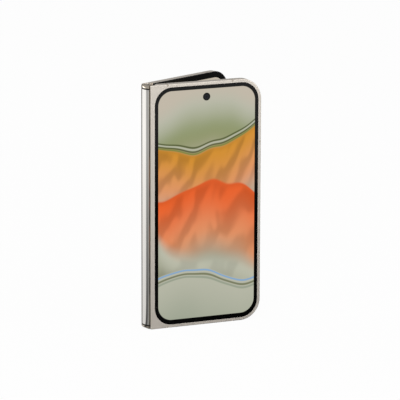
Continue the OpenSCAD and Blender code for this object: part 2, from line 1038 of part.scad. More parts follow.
module front_battery() {
    color("#3b3f46")
        place_front()
        battery(body_h - wall_w - board_h - battery_gap, cover_screen_back + part_gap);
}

// ---- Card tray ----

module tray_slot() {
    box(tray_u - tray_w / 2 - tray_gap, -over, tray_d - tray_t / 2 - tray_gap,
        [tray_w + 2 * tray_gap, wall_w + 2 * over, tray_t + 2 * tray_gap]);
}

module card_tray() {
    color("#d9cfc2")
        place_front()
        difference() {
            translate([tray_u - tray_w / 2, 0, tray_d - tray_t / 2])
                cube([tray_w, tray_len, tray_t]);
            box(tray_u - tray_w / 2 + tray_wall, tray_front, tray_d - over - tray_t / 2,
                [tray_w - 2 * tray_wall, tray_len - tray_front - tray_wall,
                 over + tray_t - tray_floor]);
            difference() {
                box(tray_u - tray_w / 2 - over, tray_lip, tray_d - over - tray_t / 2,
                    [tray_w + 2 * over, seal_w, tray_t + 2 * over]);
                box(tray_u - tray_w / 2 + seal_w / 2, 0, tray_d - tray_t / 2 + seal_w / 2,
                    [tray_w - seal_w, tray_len, tray_t - seal_w]);
            }
            translate([tray_u + tray_w / 2 - pin_hole_edge, -over, tray_d])
                rotate([-90, 0, 0])
                cylinder(r = pin_hole_r, h = over + pin_hole_deep);
        }
}

module card_tray_seal() {
    color("#7a2f2a")
        place_front()
        difference() {
            box(tray_u - tray_w / 2, tray_lip, tray_d - tray_t / 2, [tray_w, seal_w, tray_t]);
            box(tray_u - tray_w / 2 + seal_w / 2, 0, tray_d - tray_t / 2 + seal_w / 2,
                [tray_w - seal_w, tray_len, tray_t - seal_w]);
        }
}

module card_socket() {
    inner_w = tray_w + 2 * tray_gap;
    color("#b9bcc0")
        place_front()
        difference() {
            box(tray_u - inner_w / 2 - cage_t, wall_w + part_gap,
                tray_d - tray_t / 2 - tray_gap - cage_t,
                [inner_w + 2 * cage_t, tray_len, tray_t + 2 * tray_gap + 2 * cage_t]);
            box(tray_u - inner_w / 2, 0, tray_d - tray_t / 2 - tray_gap,
                [inner_w, wall_w + part_gap + tray_len - cage_t, tray_t + 2 * tray_gap]);
        }
}

module front_antenna_bands() {
    color("#cbb9a2")
        place_front()
        band_inlays(true);
}

module magnets() {
    for (v = magnet_v)
        box(half_w - wall_w - part_gap - magnet_size[0], v, mid_back - magnet_gap - magnet_size[2],
            magnet_size);
}

module front_magnets() {
    color("#8d9096")
        place_front()
        magnets();
}

module front_inner_screen() {
    color("#101114")
        place_front()
        inner_screen();
}

module front_bezel() {
    color("#0b0b0d")
        place_front()
        bezel();
}

module front_support_plate() {
    color("#9da1a6")
        place_front()
        support_plate();
}

module front_swing_arms() {
    color("#a7abb0")
        place_front()
        swing_arms(0, mesh_in);
}

module front_arm_screws() {
    color("#6f7378")
        place_front()
        arm_screws(0);
}

// ---- Spine ----

module spine_cover() {
    from = spine_end_gap + cap_len + seal_t;
    color("#e9e6e1")
        place_spine()
        spine_run(from, body_h - 2 * from)
        spine_cover_section();
}

module spine_cap_bottom() {
    color("#cfc5b6")
        place_spine()
        translate([0, 0, spine_end_gap])
        spine_cap();
}

module spine_cap_top() {
    color("#cfc5b6")
        place_spine()
        translate([0, 0, body_h - spine_end_gap])
        mirror([0, 0, 1])
        spine_cap();
}

module spine_seals() {
    color("#1c1b1a")
        place_spine()
        for (from = [spine_end_gap + cap_len, body_h - spine_end_gap - cap_len - seal_t])
            spine_run(from, seal_t)
                spine_cover_section();
}

module hinge_brackets() {
    color("#8f9398")
        place_spine()
        for (v = hinge_v)
            translate([0, 0, v])
                hinge_unit();
}

module pinion_1() {
    color("#c8a84e")
        pinion(1);
}

module pinion_2() {
    color("#c8a84e")
        pinion(2);
}

module pinion_3() {
    color("#c8a84e")
        pinion(3);
}

module pinion_4() {
    color("#c8a84e")
        pinion(4);
}

// Outline of the bent screen: out along one face and back along the other
function bend_arc(r, sweep, steps) = [
    for (k = [-steps:steps]) r * [cos(180 + k * sweep / steps), sin(180 + k * sweep / steps)]
];
function flip(list) = [for (k = [len(list) - 1:-1:0]) list[k]];

module fold_screen() {
    turn = rest_turn;
    dir = bend_dir(turn);
    along = [cos(dir), sin(dir)];
    out = [-sin(dir), cos(dir)];
    start = bend_from(turn) + (screen_t * tan(plate_tilt(turn)) + part_gap / 2) * along;
    middle = [bend_cx(turn), 0];
    face = bend_arc(bend_r(turn), dir - 90, bend_steps);
    back = bend_arc(bend_r(turn) + screen_t, dir - 90, bend_steps);
    color("#101114")
        place_spine()
        spine_run(bend_end_v, body_h - 2 * bend_end_v)
        polygon([
            [start[0], -start[1]], each [for (p = face) middle + p], start,
            start + screen_t * out, each [for (p = flip(back)) middle + p],
            [start[0] + screen_t * out[0], -start[1] - screen_t * out[1]]
        ]);
}

// ---- Rear half ----

module at_cameras() {
    for (k = [-1:1])
        translate([cam_u, cam_mid_v + k * cam_pitch, 0])
            children();
}

module upright_stadium(v, from, len, w, t) {
    translate([half_w + from, v, button_d])
        rotate([0, 90, 0])
        rotate([0, 0, 90])
        stadium(len, w, t);
}

// Pocket of a side button: a mouth, and behind it the room for the button's flange
module button_pocket(v, len) {
    mouth = 2 * button_gap;
    upright_stadium(v, -button_deep, len + mouth + 2 * flange_w, button_w + mouth + 2 * flange_w,
                    button_deep - mouth_t);
    upright_stadium(v, -button_deep, len + mouth, button_w + mouth, button_deep + over);
}

module rear_frame() {
    color("#d9cfc2")
        place_rear()
        difference() {
            union() {
                difference() {
                    frame_blank();
                    arm_slots(1);
                }
                arm_lands(1);
            }
            band_cuts(false);
            button_pocket(power_v, power_len);
            button_pocket(volume_v, volume_len);
            translate([inner_cam_u, inner_cam_v, 0])
                cylinder(r = inner_cam_r + inner_cam_room, h = half_t);
            socket_hole();
            speaker_slots();
            mic_holes();
        }
}

module back_glass() {
    color("#e3ddd2")
        place_rear()
        outer_glass(true);
}

module camera_island() {
    color("#cfc5b6")
        place_rear()
        difference() {
            translate([island_u, island_v, glass_sink])
                mirror([0, 0, 1])
                rounded_slab(island_w, island_len, island_r, island_r, island_t, island_round);
            at_cameras()
                translate([0, 0, -half_t])
                cylinder(r = ring_r - ring_ledge, h = 2 * half_t);
            at_cameras()
                translate([0, 0, glass_sink - island_t - over])
                cylinder(r = ring_r, h = over + ring_recess);
        }
}

module camera_rings() {
    color("#9a948a")
        place_rear()
        at_cameras()
        translate([0, 0, ring_top])
        difference() {
            cylinder(r = ring_r - ring_fit, h = ring_recess + ring_out);
            translate([0, 0, -over])
                cylinder(r = cam_hole_r, h = half_t);
            translate([0, 0, -over])
                cylinder(r1 = ring_r, r2 = cam_hole_r, h = over + ring_chamfer);
        }
}

module camera_windows() {
    color("#14151c")
        place_rear()
        at_cameras()
        translate([0, 0, window_top])
        cylinder(r = cam_hole_r, h = window_t);
}

module camera_modules() {
    color("#23252b")
        place_rear()
        at_cameras()
        difference() {
            translate([0, 0, lens_top])
                cylinder(r = cam_hole_r - lens_gap, h = board_back - board_t - part_gap - lens_top);
            translate([0, 0, lens_top - over])
                cylinder(r1 = cam_hole_r - ring_w, r2 = lens_tip_r, h = over + lens_cone);
        }
}

module flash_window() {
    color("#f4efe0")
        place_rear()
        translate([island_u - flash_side, cam_mid_v + cam_pitch, glass_sink - flash_t])
        cylinder(r = flash_r, h = flash_t);
}

module main_board() {
    color("#2f6b4a")
        place_rear()
        difference() {
            box(bay_u, main_board_v, board_back - board_t,
                [bay_w - board_short, main_board_h - corner_r / 2, board_t]);
            translate([inner_cam_u, inner_cam_v, 0])
                cylinder(r = inner_cam_board_r, h = half_t);
        }
}

module board_shield() {
    color("#b9bcc0")
        place_rear()
        box(bay_u + shield_in, main_board_v + shield_in, board_back - board_t - shield_t,
            [island_u - bay_u - 2 * shield_in, main_board_h - corner_r / 2 - 2 * shield_in,
             shield_t]);
}

module rear_battery() {
    color("#3b3f46")
        place_rear()
        battery(main_board_v - battery_gap, ledge_d + coil_t + 2 * part_gap);
}

module charging_coil() {
    color("#b8763f")
        place_rear()
        translate([bay_u + bay_w / 2, (battery_v + main_board_v) / 2, ledge_d + part_gap])
        for (k = [0:coil_turns - 1])
            difference() {
                cylinder(r = coil_r - coil_pitch * k, h = coil_t);
                translate([0, 0, -over])
                    cylinder(r = coil_r - coil_pitch * k - coil_w, h = coil_t + 2 * over);
            }
}

module socket_mouth(grow, from, len) {
    translate([socket_u, from, socket_d])
        rotate([-90, 0, 0])
        stadium(socket_w + 2 * grow, socket_h + 2 * grow, len);
}

module socket_hole() {
    socket_mouth(shell_t + shell_fit, -over, wall_w + 2 * over);
}

module usb_socket() {
    color("#a9adb2")
        place_rear() {
            difference() {
                socket_mouth(shell_t, shell_sink, socket_depth + shell_t);
                socket_mouth(0, -over, socket_depth + shell_sink + over);
            }
            box(socket_u - tongue_size[0] / 2, shell_sink + tongue_sink,
                socket_d - tongue_size[2] / 2, tongue_size - [0, tongue_sink, 0]);
        }
}

module speaker_slots() {
    for (k = [-1:1])
        translate([speaker_u + k * slot_pitch, -over, half_t / 2])
            rotate([-90, 0, 0])
            stadium(sound_slot[0], sound_slot[1], wall_w + 2 * over);
}

module mic_holes() {
    for (v = [-over, body_h - wall_w - over])
        translate([socket_u - mic_side, v, half_t / 2])
            rotate([-90, 0, 0])
            cylinder(r = mic_r, h = wall_w + 2 * over);
}

module speaker() {
    color("#2d2e33")
        place_rear()
        box(speaker_u - speaker_size[0] / 2, wall_w + part_gap, ledge_d + speaker_gap,
            [speaker_size[0], speaker_size[1], board_back - ledge_d - speaker_gap]);
}

module vibration_motor() {
    color("#9a9da3")
        place_rear()
        box(bay_u + motor_gap, wall_w + motor_low, ledge_d + motor_gap, motor_size);
}

module rear_antenna_bands() {
    color("#cbb9a2")
        place_rear()
        band_inlays(false);
}

module rear_magnets() {
    color("#8d9096")
        place_rear()
        magnets();
}

module rear_inner_screen() {
    color("#101114")
        place_rear()
        difference() {
            inner_screen();
            translate([inner_cam_u, inner_cam_v, 0])
                cylinder(r = inner_cam_r, h = 2 * half_t);
        }
}

module inner_camera() {
    color("#1b1c22")
        place_rear()
        translate([inner_cam_u, inner_cam_v, board_back - inner_cam_t])
        cylinder(r = inner_cam_r - part_gap,
                 h = screen_top - board_back + inner_cam_t - inner_cam_sink);
}

module rear_bezel() {
    color("#0b0b0d")
        place_rear()
        bezel();
}

module rear_support_plate() {
    color("#9da1a6")
        place_rear()
        support_plate();
}

module rear_swing_arms() {
    color("#a7abb0")
        place_rear()
        swing_arms(1, -rear_gap);
}

module rear_arm_screws() {
    color("#6f7378")
        place_rear()
        arm_screws(1);
}

// ---- Buttons ----

// Side button with a flange behind its mouth; slack is the flange's room below the mouth
module side_button(v, len, slack) {
    back = -button_deep + switch_t + press_gap + button_travel;
    upright_stadium(v, back, len, button_w, button_out - back);
    upright_stadium(v, -mouth_t - slack - flange_t, len + 2 * flange_w, button_w + 2 * flange_w,
                    flange_t);
}

module switch_dome(v) {
    translate([half_w - button_deep, v, button_d])
        rotate([0, 90, 0])
        cylinder(r = button_w / 2 - switch_in, h = switch_t);
}

module power_button() {
    color("#cfc5b6")
        place_rear()
        side_button(power_v, power_len, power_slack);
}

module power_switch() {
    color("#c9ccd0")
        place_rear()
        switch_dome(power_v);
}

module volume_rocker() {
    color("#cfc5b6")
        place_rear()
        side_button(volume_v, volume_len, button_travel + press_gap);
}

module volume_switches() {
    color("#c9ccd0")
        place_rear()
        for (side = [-1, 1])
            switch_dome(volume_v + side * volume_len / 3);
}

front_frame();
cover_glass();
cover_screen();
cover_camera();
earpiece();
front_board();
front_battery();
card_socket();
card_tray();
card_tray_seal();
front_antenna_bands();
front_magnets();
front_inner_screen();
front_bezel();
front_support_plate();
front_swing_arms();
front_arm_screws();
spine_cover();
spine_cap_top();
spine_cap_bottom();
spine_seals();
hinge_brackets();
pinion_1();
pinion_2();
pinion_3();
pinion_4();
fold_screen();
rear_frame();
back_glass();
camera_island();
camera_rings();
camera_windows();
camera_modules();
flash_window();
main_board();
board_shield();
rear_battery();
charging_coil();
usb_socket();
speaker();
vibration_motor();
rear_antenna_bands();
rear_magnets();
rear_inner_screen();
inner_camera();
rear_bezel();
rear_support_plate();
rear_swing_arms();
rear_arm_screws();
power_button();
power_switch();
volume_rocker();
volume_switches();
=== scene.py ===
"""Looks of a folding phone: finishes for its solids, the folding screen's bend and the small
fittings that show, with a plain studio around them."""

import json
import math

import bmesh
import bpy
from bpy.props import FloatProperty, FloatVectorProperty, IntProperty, PointerProperty
from mathutils import Matrix, Vector


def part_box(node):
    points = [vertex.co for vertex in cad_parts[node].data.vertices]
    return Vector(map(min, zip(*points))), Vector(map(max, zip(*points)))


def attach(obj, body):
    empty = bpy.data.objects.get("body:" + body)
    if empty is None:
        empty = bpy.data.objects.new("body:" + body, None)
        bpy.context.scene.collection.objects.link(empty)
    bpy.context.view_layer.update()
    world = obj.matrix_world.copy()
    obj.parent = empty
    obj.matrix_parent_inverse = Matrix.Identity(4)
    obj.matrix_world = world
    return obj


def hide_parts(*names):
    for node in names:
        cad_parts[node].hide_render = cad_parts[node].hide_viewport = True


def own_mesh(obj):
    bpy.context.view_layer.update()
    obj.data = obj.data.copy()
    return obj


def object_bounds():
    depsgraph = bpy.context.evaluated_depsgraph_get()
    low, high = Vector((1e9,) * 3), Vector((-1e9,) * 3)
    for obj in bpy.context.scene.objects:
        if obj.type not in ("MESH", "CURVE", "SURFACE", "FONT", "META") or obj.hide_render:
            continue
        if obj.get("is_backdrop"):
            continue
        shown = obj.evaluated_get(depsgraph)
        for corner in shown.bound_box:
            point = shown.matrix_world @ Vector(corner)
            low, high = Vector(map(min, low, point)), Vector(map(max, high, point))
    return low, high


bl_info = {
    "name": "Folding phone looks",
    "version": (1, 0, 0),
    "blender": (4, 5, 0),
    "location": "View3D > Sidebar > Folding phone",
    "description": "Finishes, folding screen and small fittings of a folding phone",
    "category": "Object",
}

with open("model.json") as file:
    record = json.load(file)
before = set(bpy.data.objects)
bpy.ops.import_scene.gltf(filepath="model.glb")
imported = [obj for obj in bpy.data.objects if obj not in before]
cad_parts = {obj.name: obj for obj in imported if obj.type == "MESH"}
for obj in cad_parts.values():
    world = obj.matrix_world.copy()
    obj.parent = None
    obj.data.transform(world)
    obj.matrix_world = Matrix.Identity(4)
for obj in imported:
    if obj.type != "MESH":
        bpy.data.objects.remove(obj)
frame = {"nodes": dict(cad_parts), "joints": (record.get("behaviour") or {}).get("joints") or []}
MM = 0.001
NODES = frame["nodes"]


# ---- Places taken from the solids ----

LOW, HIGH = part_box("front_frame")
HINGE_X, FACE_Y = LOW.x, LOW.y
HALF_W, BODY_H = HIGH.x - LOW.x, HIGH.z - LOW.z
JOINTS = {joint["name"]: joint for joint in frame["joints"]}
REST_TURN = math.radians(-JOINTS["front_fold"]["range_deg"][0])
FRONT_AXIS = Vector(JOINTS["front_fold"]["pos_m"])
REAR_AXIS = Vector(JOINTS["rear_fold"]["pos_m"])
REAR_TURN = Matrix.Rotation(2 * REST_TURN, 3, "Z")
SPINE_TURN = Matrix.Rotation(REST_TURN, 3, "Z")
AXIS_U = FRONT_AXIS.x - HINGE_X
AXIS_D = FRONT_AXIS.y - FACE_Y
SCREEN_REACH = HALF_W + (REAR_AXIS - FRONT_AXIS).length / 2 - AXIS_U

# Softness of a printed edge, and the least angle of an edge that stays sharp.
PRINT_EDGE = 0.05 * MM
SHARP_FROM = math.radians(35)
# The floor's sheen is laid out about this place, near the spine's middle.
SHEEN_CENTRE = (-34 * MM, -14 * MM)


def middle(node):
    low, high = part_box(node)
    return (low + high) / 2


def on_rear(u, depth, height):
    """World place of a point of the rear half: from its hinge edge, from its back, and up."""
    turned = REAR_TURN @ Vector((u - AXIS_U, AXIS_D - depth, 0))
    return Vector((REAR_AXIS.x + turned.x, REAR_AXIS.y + turned.y, height))


# ---- Sizes and colours that a user may change ----

def tone(code):
    """Linear colour of a hex code."""
    def channel(text):
        value = int(text, 16) / 255
        return value / 12.92 if value <= 0.04045 else ((value + 0.055) / 1.055) ** 2.4
    return tuple(channel(code[k:k + 2]) for k in (0, 2, 4))


def colour(name, description, code):
    return FloatVectorProperty(name=name, description=description, default=tone(code),
                               subtype="COLOR", size=3, min=0, max=1)


def length(name, description, millimetres):
    return FloatProperty(name=name, description=description, default=millimetres * MM,
                         min=0, unit="LENGTH", precision=5)


def share(name, description, value):
    return FloatProperty(name=name, description=description, default=value, min=0, max=1,
                         subtype="FACTOR")


def angle(name, description, degrees):
    return FloatProperty(name=name, description=description, default=math.radians(degrees),
                         subtype="ANGLE")


class PhoneMetals(bpy.types.PropertyGroup):
    body: colour("Body metal", "Satin metal of both frames", "e6ded3")
    # Painted shade: this dark tone on the frames' edges beside the spine stands for the shadow
    # in the gap between frame and spine.
    shade: colour("Hinge edge", "Dark lacquer on the frames' edges beside the spine", "6a6258")
    trim: colour("Trim metal", "Buttons and camera island", "d0c6b6")
    spine: colour("Spine metal", "Polished metal of the spine cover", "f2efea")
    steel: colour("Hinge steel", "Arms, plates and switches", "a9acb1")
    dark_steel: colour("Dark steel", "Screws and brackets", "4a4743")
    brass: colour("Gear metal", "Pinions", "c8a255")
    copper: colour("Wire", "Charging coil", "b4703a")
    tin: colour("Tin plate", "Shields, cages and sockets", "b9bcc0")
    grain: share("Grain", "Depth of the blasted grain", 0.05)
    satin: share("Satin", "Roughness of the blasted metal", 0.42)
    body_share: share("Body sheen", "Metallic share of the body's finish", 0.8)
    lip: length("Lip lacquer", "Depth of the black lacquer on the frames' inner lip", 0.3)
    # Width of the painted gap shade beside the spine.
    edge: length("Dark edge", "Width of the dark finish beside the spine", 0.4)


class PhonePlastics(bpy.types.PropertyGroup):
    black: colour("Black plastic", "Bezels, loudspeaker and earpiece", "070707")
    bands: colour("Antenna bands", "Plastic that parts the metal rim", "9d9488")
    rubber: colour("Rubber", "Seals of the spine", "0a0a0a")
    tray_seal: colour("Tray seal", "Seal of the card tray", "7a2f2a")
    board: colour("Board", "Lacquer of the boards", "1f5a3c")
    pads: colour("Pads", "Plated pads of the boards", "c9b06a")
    cell: colour("Cell wrap", "Foil of the batteries", "2c2f34")
    back: colour("Back finish", "Matt glass of the back", "e0d9cd")
    flash: colour("Flash", "Diffuser of the flash", "f4edd8")


class PhoneFaces(bpy.types.PropertyGroup):
    border_sides: length("Side borders", "Black border beside the lit picture", 2.3)
    border_ends: length("End borders", "Black border above and below the picture", 2.65)
    picture_rise: length("Picture rise", "How far the lit picture stands above the middle", 0.27)
    picture_r: length("Picture corner", "Corner radius of the lit picture", 9.2)
    border_colour: colour("Border colour", "Print behind the glass", "030303")
    glow: FloatProperty(name="Glow", description="Brightness of the lit pictures",
                        default=0.9, min=0, max=2)
    camera_u: length("Camera across", "Cover camera's distance from the hinge edge", 37.9)
    camera_top: length("Camera down", "Cover camera's distance from the top edge", 9.4)
    camera_r: length("Camera window", "Radius of the cover camera's window", 2.5)
    inner_border: length("Inner border", "From the free edges to the inner picture", 3.9)
    inner_r: length("Inner corner", "Corner radius of the inner picture", 9.3)


class PhoneFold(bpy.types.PropertyGroup):
    tilt: angle("Tilt", "Tilt of the screen beside the bend when shut", 16)
    thickness: length("Thickness", "Thickness of the folding screen", 0.65)
    hidden: length("Lap", "Length of each flat strip behind the bend", 0.5)
    low: length("Low end", "Height at which the bend begins", 3)
    steps: IntProperty(name="Steps", description="Facets of the bend", default=48, min=8)
    keep: share("Kept depth", "Share of its depth that the bend keeps when open flat", 0.05)


class PhoneLenses(bpy.types.PropertyGroup):
    pitch: length("Pitch", "Distance between two cameras", 14.6)
    clear_r: length("Clear radius", "Radius of the clear middle of a window", 3.3)
    dome_r: length("Lens radius", "Radius of the front lens", 1.85)
    dome_high: length("Lens crown", "Height of the front lens", 0.5)
    glass: colour("Lens glass", "Coated front lens", "0a1022")
    barrel: colour("Barrel", "Blackened barrel", "0c0c0e")


class PhonePicture(bpy.types.PropertyGroup):
    top: colour("Upper ground", "Pale ground of the picture", "c9bfae")
    low: colour("Lower ground", "Sage ground of the picture", "9aa38f")
    orange: colour("Orange", "Strongest wave", "e5602a")
    peach: colour("Peach", "Inside of the orange wave", "dc9468")
    amber: colour("Amber", "Second wave", "cc8a28")
    green: colour("Green", "Leaf-coloured wave", "78883c")
    leaf: colour("Leaf", "Dark lines along the amber wave", "45501f")
    shadow: colour("Shadow", "Olive hollow below the orange wave", "6f7352")
    mist: colour("Mist", "Pale wave", "bfc0ae")
    line: colour("Line", "Fine bright line", "8fb0d2")


class PhoneStudio(bpy.types.PropertyGroup):
    azimuth: angle("Azimuth", "Camera's turn round the phone", 22.834)
    elevation: angle("Elevation", "Camera's height angle", 12.805)
    roll: angle("Roll", "Camera's turn about its own axis", 0.182)
    lens: FloatProperty(name="Lens", description="Focal length on a 36 mm sensor",
                        default=279.62, min=1, unit="CAMERA")
    aim_u: length("Aim across", "Camera's aim on the cover face, from the hinge edge", 37)
    distance: length("Distance", "From the aim to the camera", 1940.98)
    right: length("Right", "How far the phone stands to the right of the camera's axis", 3.1)
    down: length("Down", "How far the phone stands below the camera's axis", 2.47)
    world: FloatProperty(name="Surroundings", description="Brightness of the surroundings",
                         default=0.9, min=0)
    key: FloatProperty(name="Key lamp", description="Power of the key lamp in watts",
                       default=11.5, min=0, unit="POWER")
    fill: FloatProperty(name="Fill lamp", description="Power of the fill lamp in watts",
                        default=3, min=0, unit="POWER")
    back: FloatProperty(name="Back lamp", description="Power of the lamp behind in watts",
                        default=7, min=0, unit="POWER")


class PhoneSettings(bpy.types.PropertyGroup):
    metals: PointerProperty(type=PhoneMetals)
    plastics: PointerProperty(type=PhonePlastics)
    faces: PointerProperty(type=PhoneFaces)
    fold: PointerProperty(type=PhoneFold)
    lenses: PointerProperty(type=PhoneLenses)
    picture: PointerProperty(type=PhonePicture)
    studio: PointerProperty(type=PhoneStudio)


# ---- Node helpers ----

class Tree:
    """Short names for adding and linking the nodes of one tree."""

    def __init__(self, tree):
        self.tree = tree

    def node(self, kind, **settings):
        made = self.tree.nodes.new("ShaderNode" + kind)
        for key, value in settings.items():
            setattr(made, key, value)
        return made

    def put(self, socket, value):
        if isinstance(value, bpy.types.NodeSocket):
            self.tree.links.new(value, socket)
        elif socket.type == "RGBA" and len(value) == 3:
            socket.default_value = (*value, 1)
        else:
            socket.default_value = value

    def put_all(self, sockets, *values):
        for socket, value in zip(sockets, values):
            self.put(socket, value)

    def fill(self, node, **values):
        for name, value in values.items():
            self.put(node.inputs[name.replace("_", " ")], value)
        return node.outputs[0]

    def math(self, operation, first, second=0.0, third=0.0):
        made = self.node("Math", operation=operation)
        self.put_all(made.inputs, first, second, third)
        return made.outputs[0]

    def mix(self, factor, first, second, blend="MIX"):
        made = self.node("Mix", data_type="RGBA", blend_type=blend)
        self.put_all((made.inputs[0], *made.inputs[6:8]), factor, first, second)
        return made.outputs[2]

    def between(self, factor, first, second):
        made = self.node("Mix", data_type="FLOAT")
        self.put_all((made.inputs[0], *made.inputs[2:4]), factor, first, second)
        return made.outputs[0]

    def mix_shaders(self, factor, first, second):
        made = self.node("MixShader")
        self.put_all(made.inputs, factor, first, second)
        return made.outputs[0]

    def surface(self, shader):
        """Makes a shader the material's surface."""
        self.put(self.tree.nodes["Material Output"].inputs[0], shader)

    def glow(self, light, strength):
        return self.fill(self.node("Emission"), Color=light, Strength=strength)

    def place(self, vector, location=(0, 0, 0), rotation=(0, 0, 0), scale=(1, 1, 1)):
        return self.fill(self.node("Mapping"), Vector=vector, Location=location,
                         Rotation=rotation, Scale=scale)

    def parts(self, vector):
        made = self.node("SeparateXYZ")
        self.put(made.inputs[0], vector)
        return made.outputs

    def join(self, x, y, z=0.0):
        return self.fill(self.node("CombineXYZ"), X=x, Y=y, Z=z)

    def noise(self, vector, scale, detail=3.0, roughness=0.55):
        return self.fill(self.node("TexNoise"), Vector=vector, Scale=scale, Detail=detail,
                         Roughness=roughness)

    def span(self, value, low, high, to_low=0.0, to_high=1.0, smooth=False):
        made = self.node("MapRange", interpolation_type="SMOOTHSTEP" if smooth else "LINEAR")
        return self.fill(made, Value=value, From_Min=low, From_Max=high, To_Min=to_low,
                         To_Max=to_high)

    def bump(self, height, strength, distance):
        return self.fill(self.node("Bump"), Height=height, Strength=strength, Distance=distance)

    def reach(self, x, y):
        """Distance from the origin of two coordinates."""
        return self.math("SQRT", self.math("MULTIPLY_ADD", x, x, self.math("MULTIPLY", y, y)))

    def ripples(self, distance, pitch):
        """Sine ridges at a pitch along a distance."""
        return self.math("SINE", self.math("MULTIPLY", distance, 2 * math.pi / pitch))

    def solid_coords(self):
        return self.node("TexCoord").outputs["Object"]

    def rear_coords(self, centre):
        """Coordinates along the rear half, from a centre: across, outwards and up."""
        turned = REAR_TURN.inverted() @ centre
        return self.place(self.solid_coords(), location=-turned,
                          rotation=(0, 0, -2 * REST_TURN))


def material(name, **sockets):
    """New material, its tree and its Principled shader with plain sockets set."""
    made = bpy.data.materials.new(name)
    made.use_nodes = True
    shader = made.node_tree.nodes["Principled BSDF"]
    tree = Tree(made.node_tree)
    tree.fill(shader, **sockets)
    return made, tree, shader


def dress(made, *nodes):
    """Gives CAD nodes a material on all their faces."""
    for node in nodes:
        solid = NODES[node]
        solid.data.materials.clear()
        solid.data.materials.append(made)
        solid.data.polygons.foreach_set("material_index", [0] * len(solid.data.polygons))


def shaded(base, factor):
    return tuple(min(1, factor * channel) for channel in base)


def grained(name, base, grain, bump, rough, metallic=1.0, mottle=0.04, stretch=(1, 1, 1),
            **sockets):
    """Metal or plastic with fine grain in millimetres, uneven gloss and a faint mottle."""
    made, tree, shader = material(name, Metallic=metallic, **sockets)
    coords = tree.place(tree.solid_coords(), scale=stretch)
    size = grain * MM
    fine = tree.noise(coords, 1 / size, 4)
    broad = tree.noise(coords, 1 / (40 * size), 2)
    tree.fill(shader, Base_Color=tree.mix(broad, shaded(base, 1 - mottle),
                                          shaded(base, 1 + mottle)),
              Roughness=tree.span(fine, 0.25, 0.75, *rough),
              Normal=tree.bump(fine, bump, size * 0.3))
    return made


def brushed(name, base, rough, along=2):
    """Metal drawn along one axis, with fine lines."""
    stretch = [1.0, 1.0, 1.0]
    stretch[along] = 0.04
    return grained(name, base, grain=0.06, bump=0.12, rough=(0.8 * rough, 1.2 * rough),
                   mottle=0.08, stretch=tuple(stretch))


# ---- Picture ----

class Waves:
    """Soft waves in a node tree, laid one over another; the picture is 1 wide and 1 high."""

    def __init__(self, tree, place, low, top):
        self.tree = tree
        drift = tree.math("SUBTRACT", tree.noise(place, 1.6, 1), 0.5)
        u, v, _ = tree.parts(place)
        self.u = tree.math("MULTIPLY_ADD", drift, 0.35, u)
        self.v = tree.math("MULTIPLY_ADD", drift, 0.16, v)
        self.light = tree.mix(tree.span(self.v, 0.05, 0.95, smooth=True), low, top)
        self.depth = self.v

    def wave(self, crest, body, height, slope, swing, pace, phase, soft, fade):
        """A wave whose edge follows a sine across the picture, and that fades below it."""
        tree = self.tree
        bend = tree.math("SINE", tree.math("MULTIPLY_ADD", self.u, pace, phase))
        line = tree.math("MULTIPLY_ADD", bend, swing,
                         tree.math("MULTIPLY_ADD", self.u, slope, height))
        self.depth = tree.math("SUBTRACT", line, self.v)
        cover = tree.math("MULTIPLY", tree.span(self.depth, -soft, soft, smooth=True),
                          tree.span(self.depth, fade[0], fade[1], 1.0, 0.0, smooth=True))
        inside = tree.span(self.depth, 0.0, fade[1] * 0.7, smooth=True)
        self.light = tree.mix(cover, self.light, tree.mix(inside, crest, body))

    def strands(self, colours, first, step, width):
        """Thin lines beside the last wave's edge, one for each colour."""
        tree = self.tree
        for k, light in enumerate(colours):
            offset = tree.math("ABSOLUTE", tree.math("SUBTRACT", self.depth, first + k * step))
            cover = tree.span(offset, width * 0.3, width, 0.85, 0.0, smooth=True)
            self.light = tree.mix(cover, self.light, light)

    def folds(self, pace, amount, last):
        """Soft light and dark ridges below the last wave's edge, like folds of cloth."""
        tree = self.tree
        wander = tree.noise(tree.join(self.u, self.depth), 3.2, 2)
        way = tree.math("MULTIPLY_ADD", self.u, 0.55 * pace,
                        tree.math("MULTIPLY", self.depth, pace))
        ridge = tree.math("SINE", tree.math("MULTIPLY_ADD", wander, 0.5 * pace, way))
        inside = tree.math("MULTIPLY", tree.span(self.depth, 0.0, 0.03, smooth=True),
                           tree.span(self.depth, 0.5 * last, last, 1.0, 0.0, smooth=True))
        tint = tree.span(ridge, -1, 1, 1 - amount, 1 + amount, smooth=True)
        shade = tree.between(inside, 1.0, tint)
        self.light = tree.mix(1.0, self.light, tree.join(shade, shade, shade), "MULTIPLY")


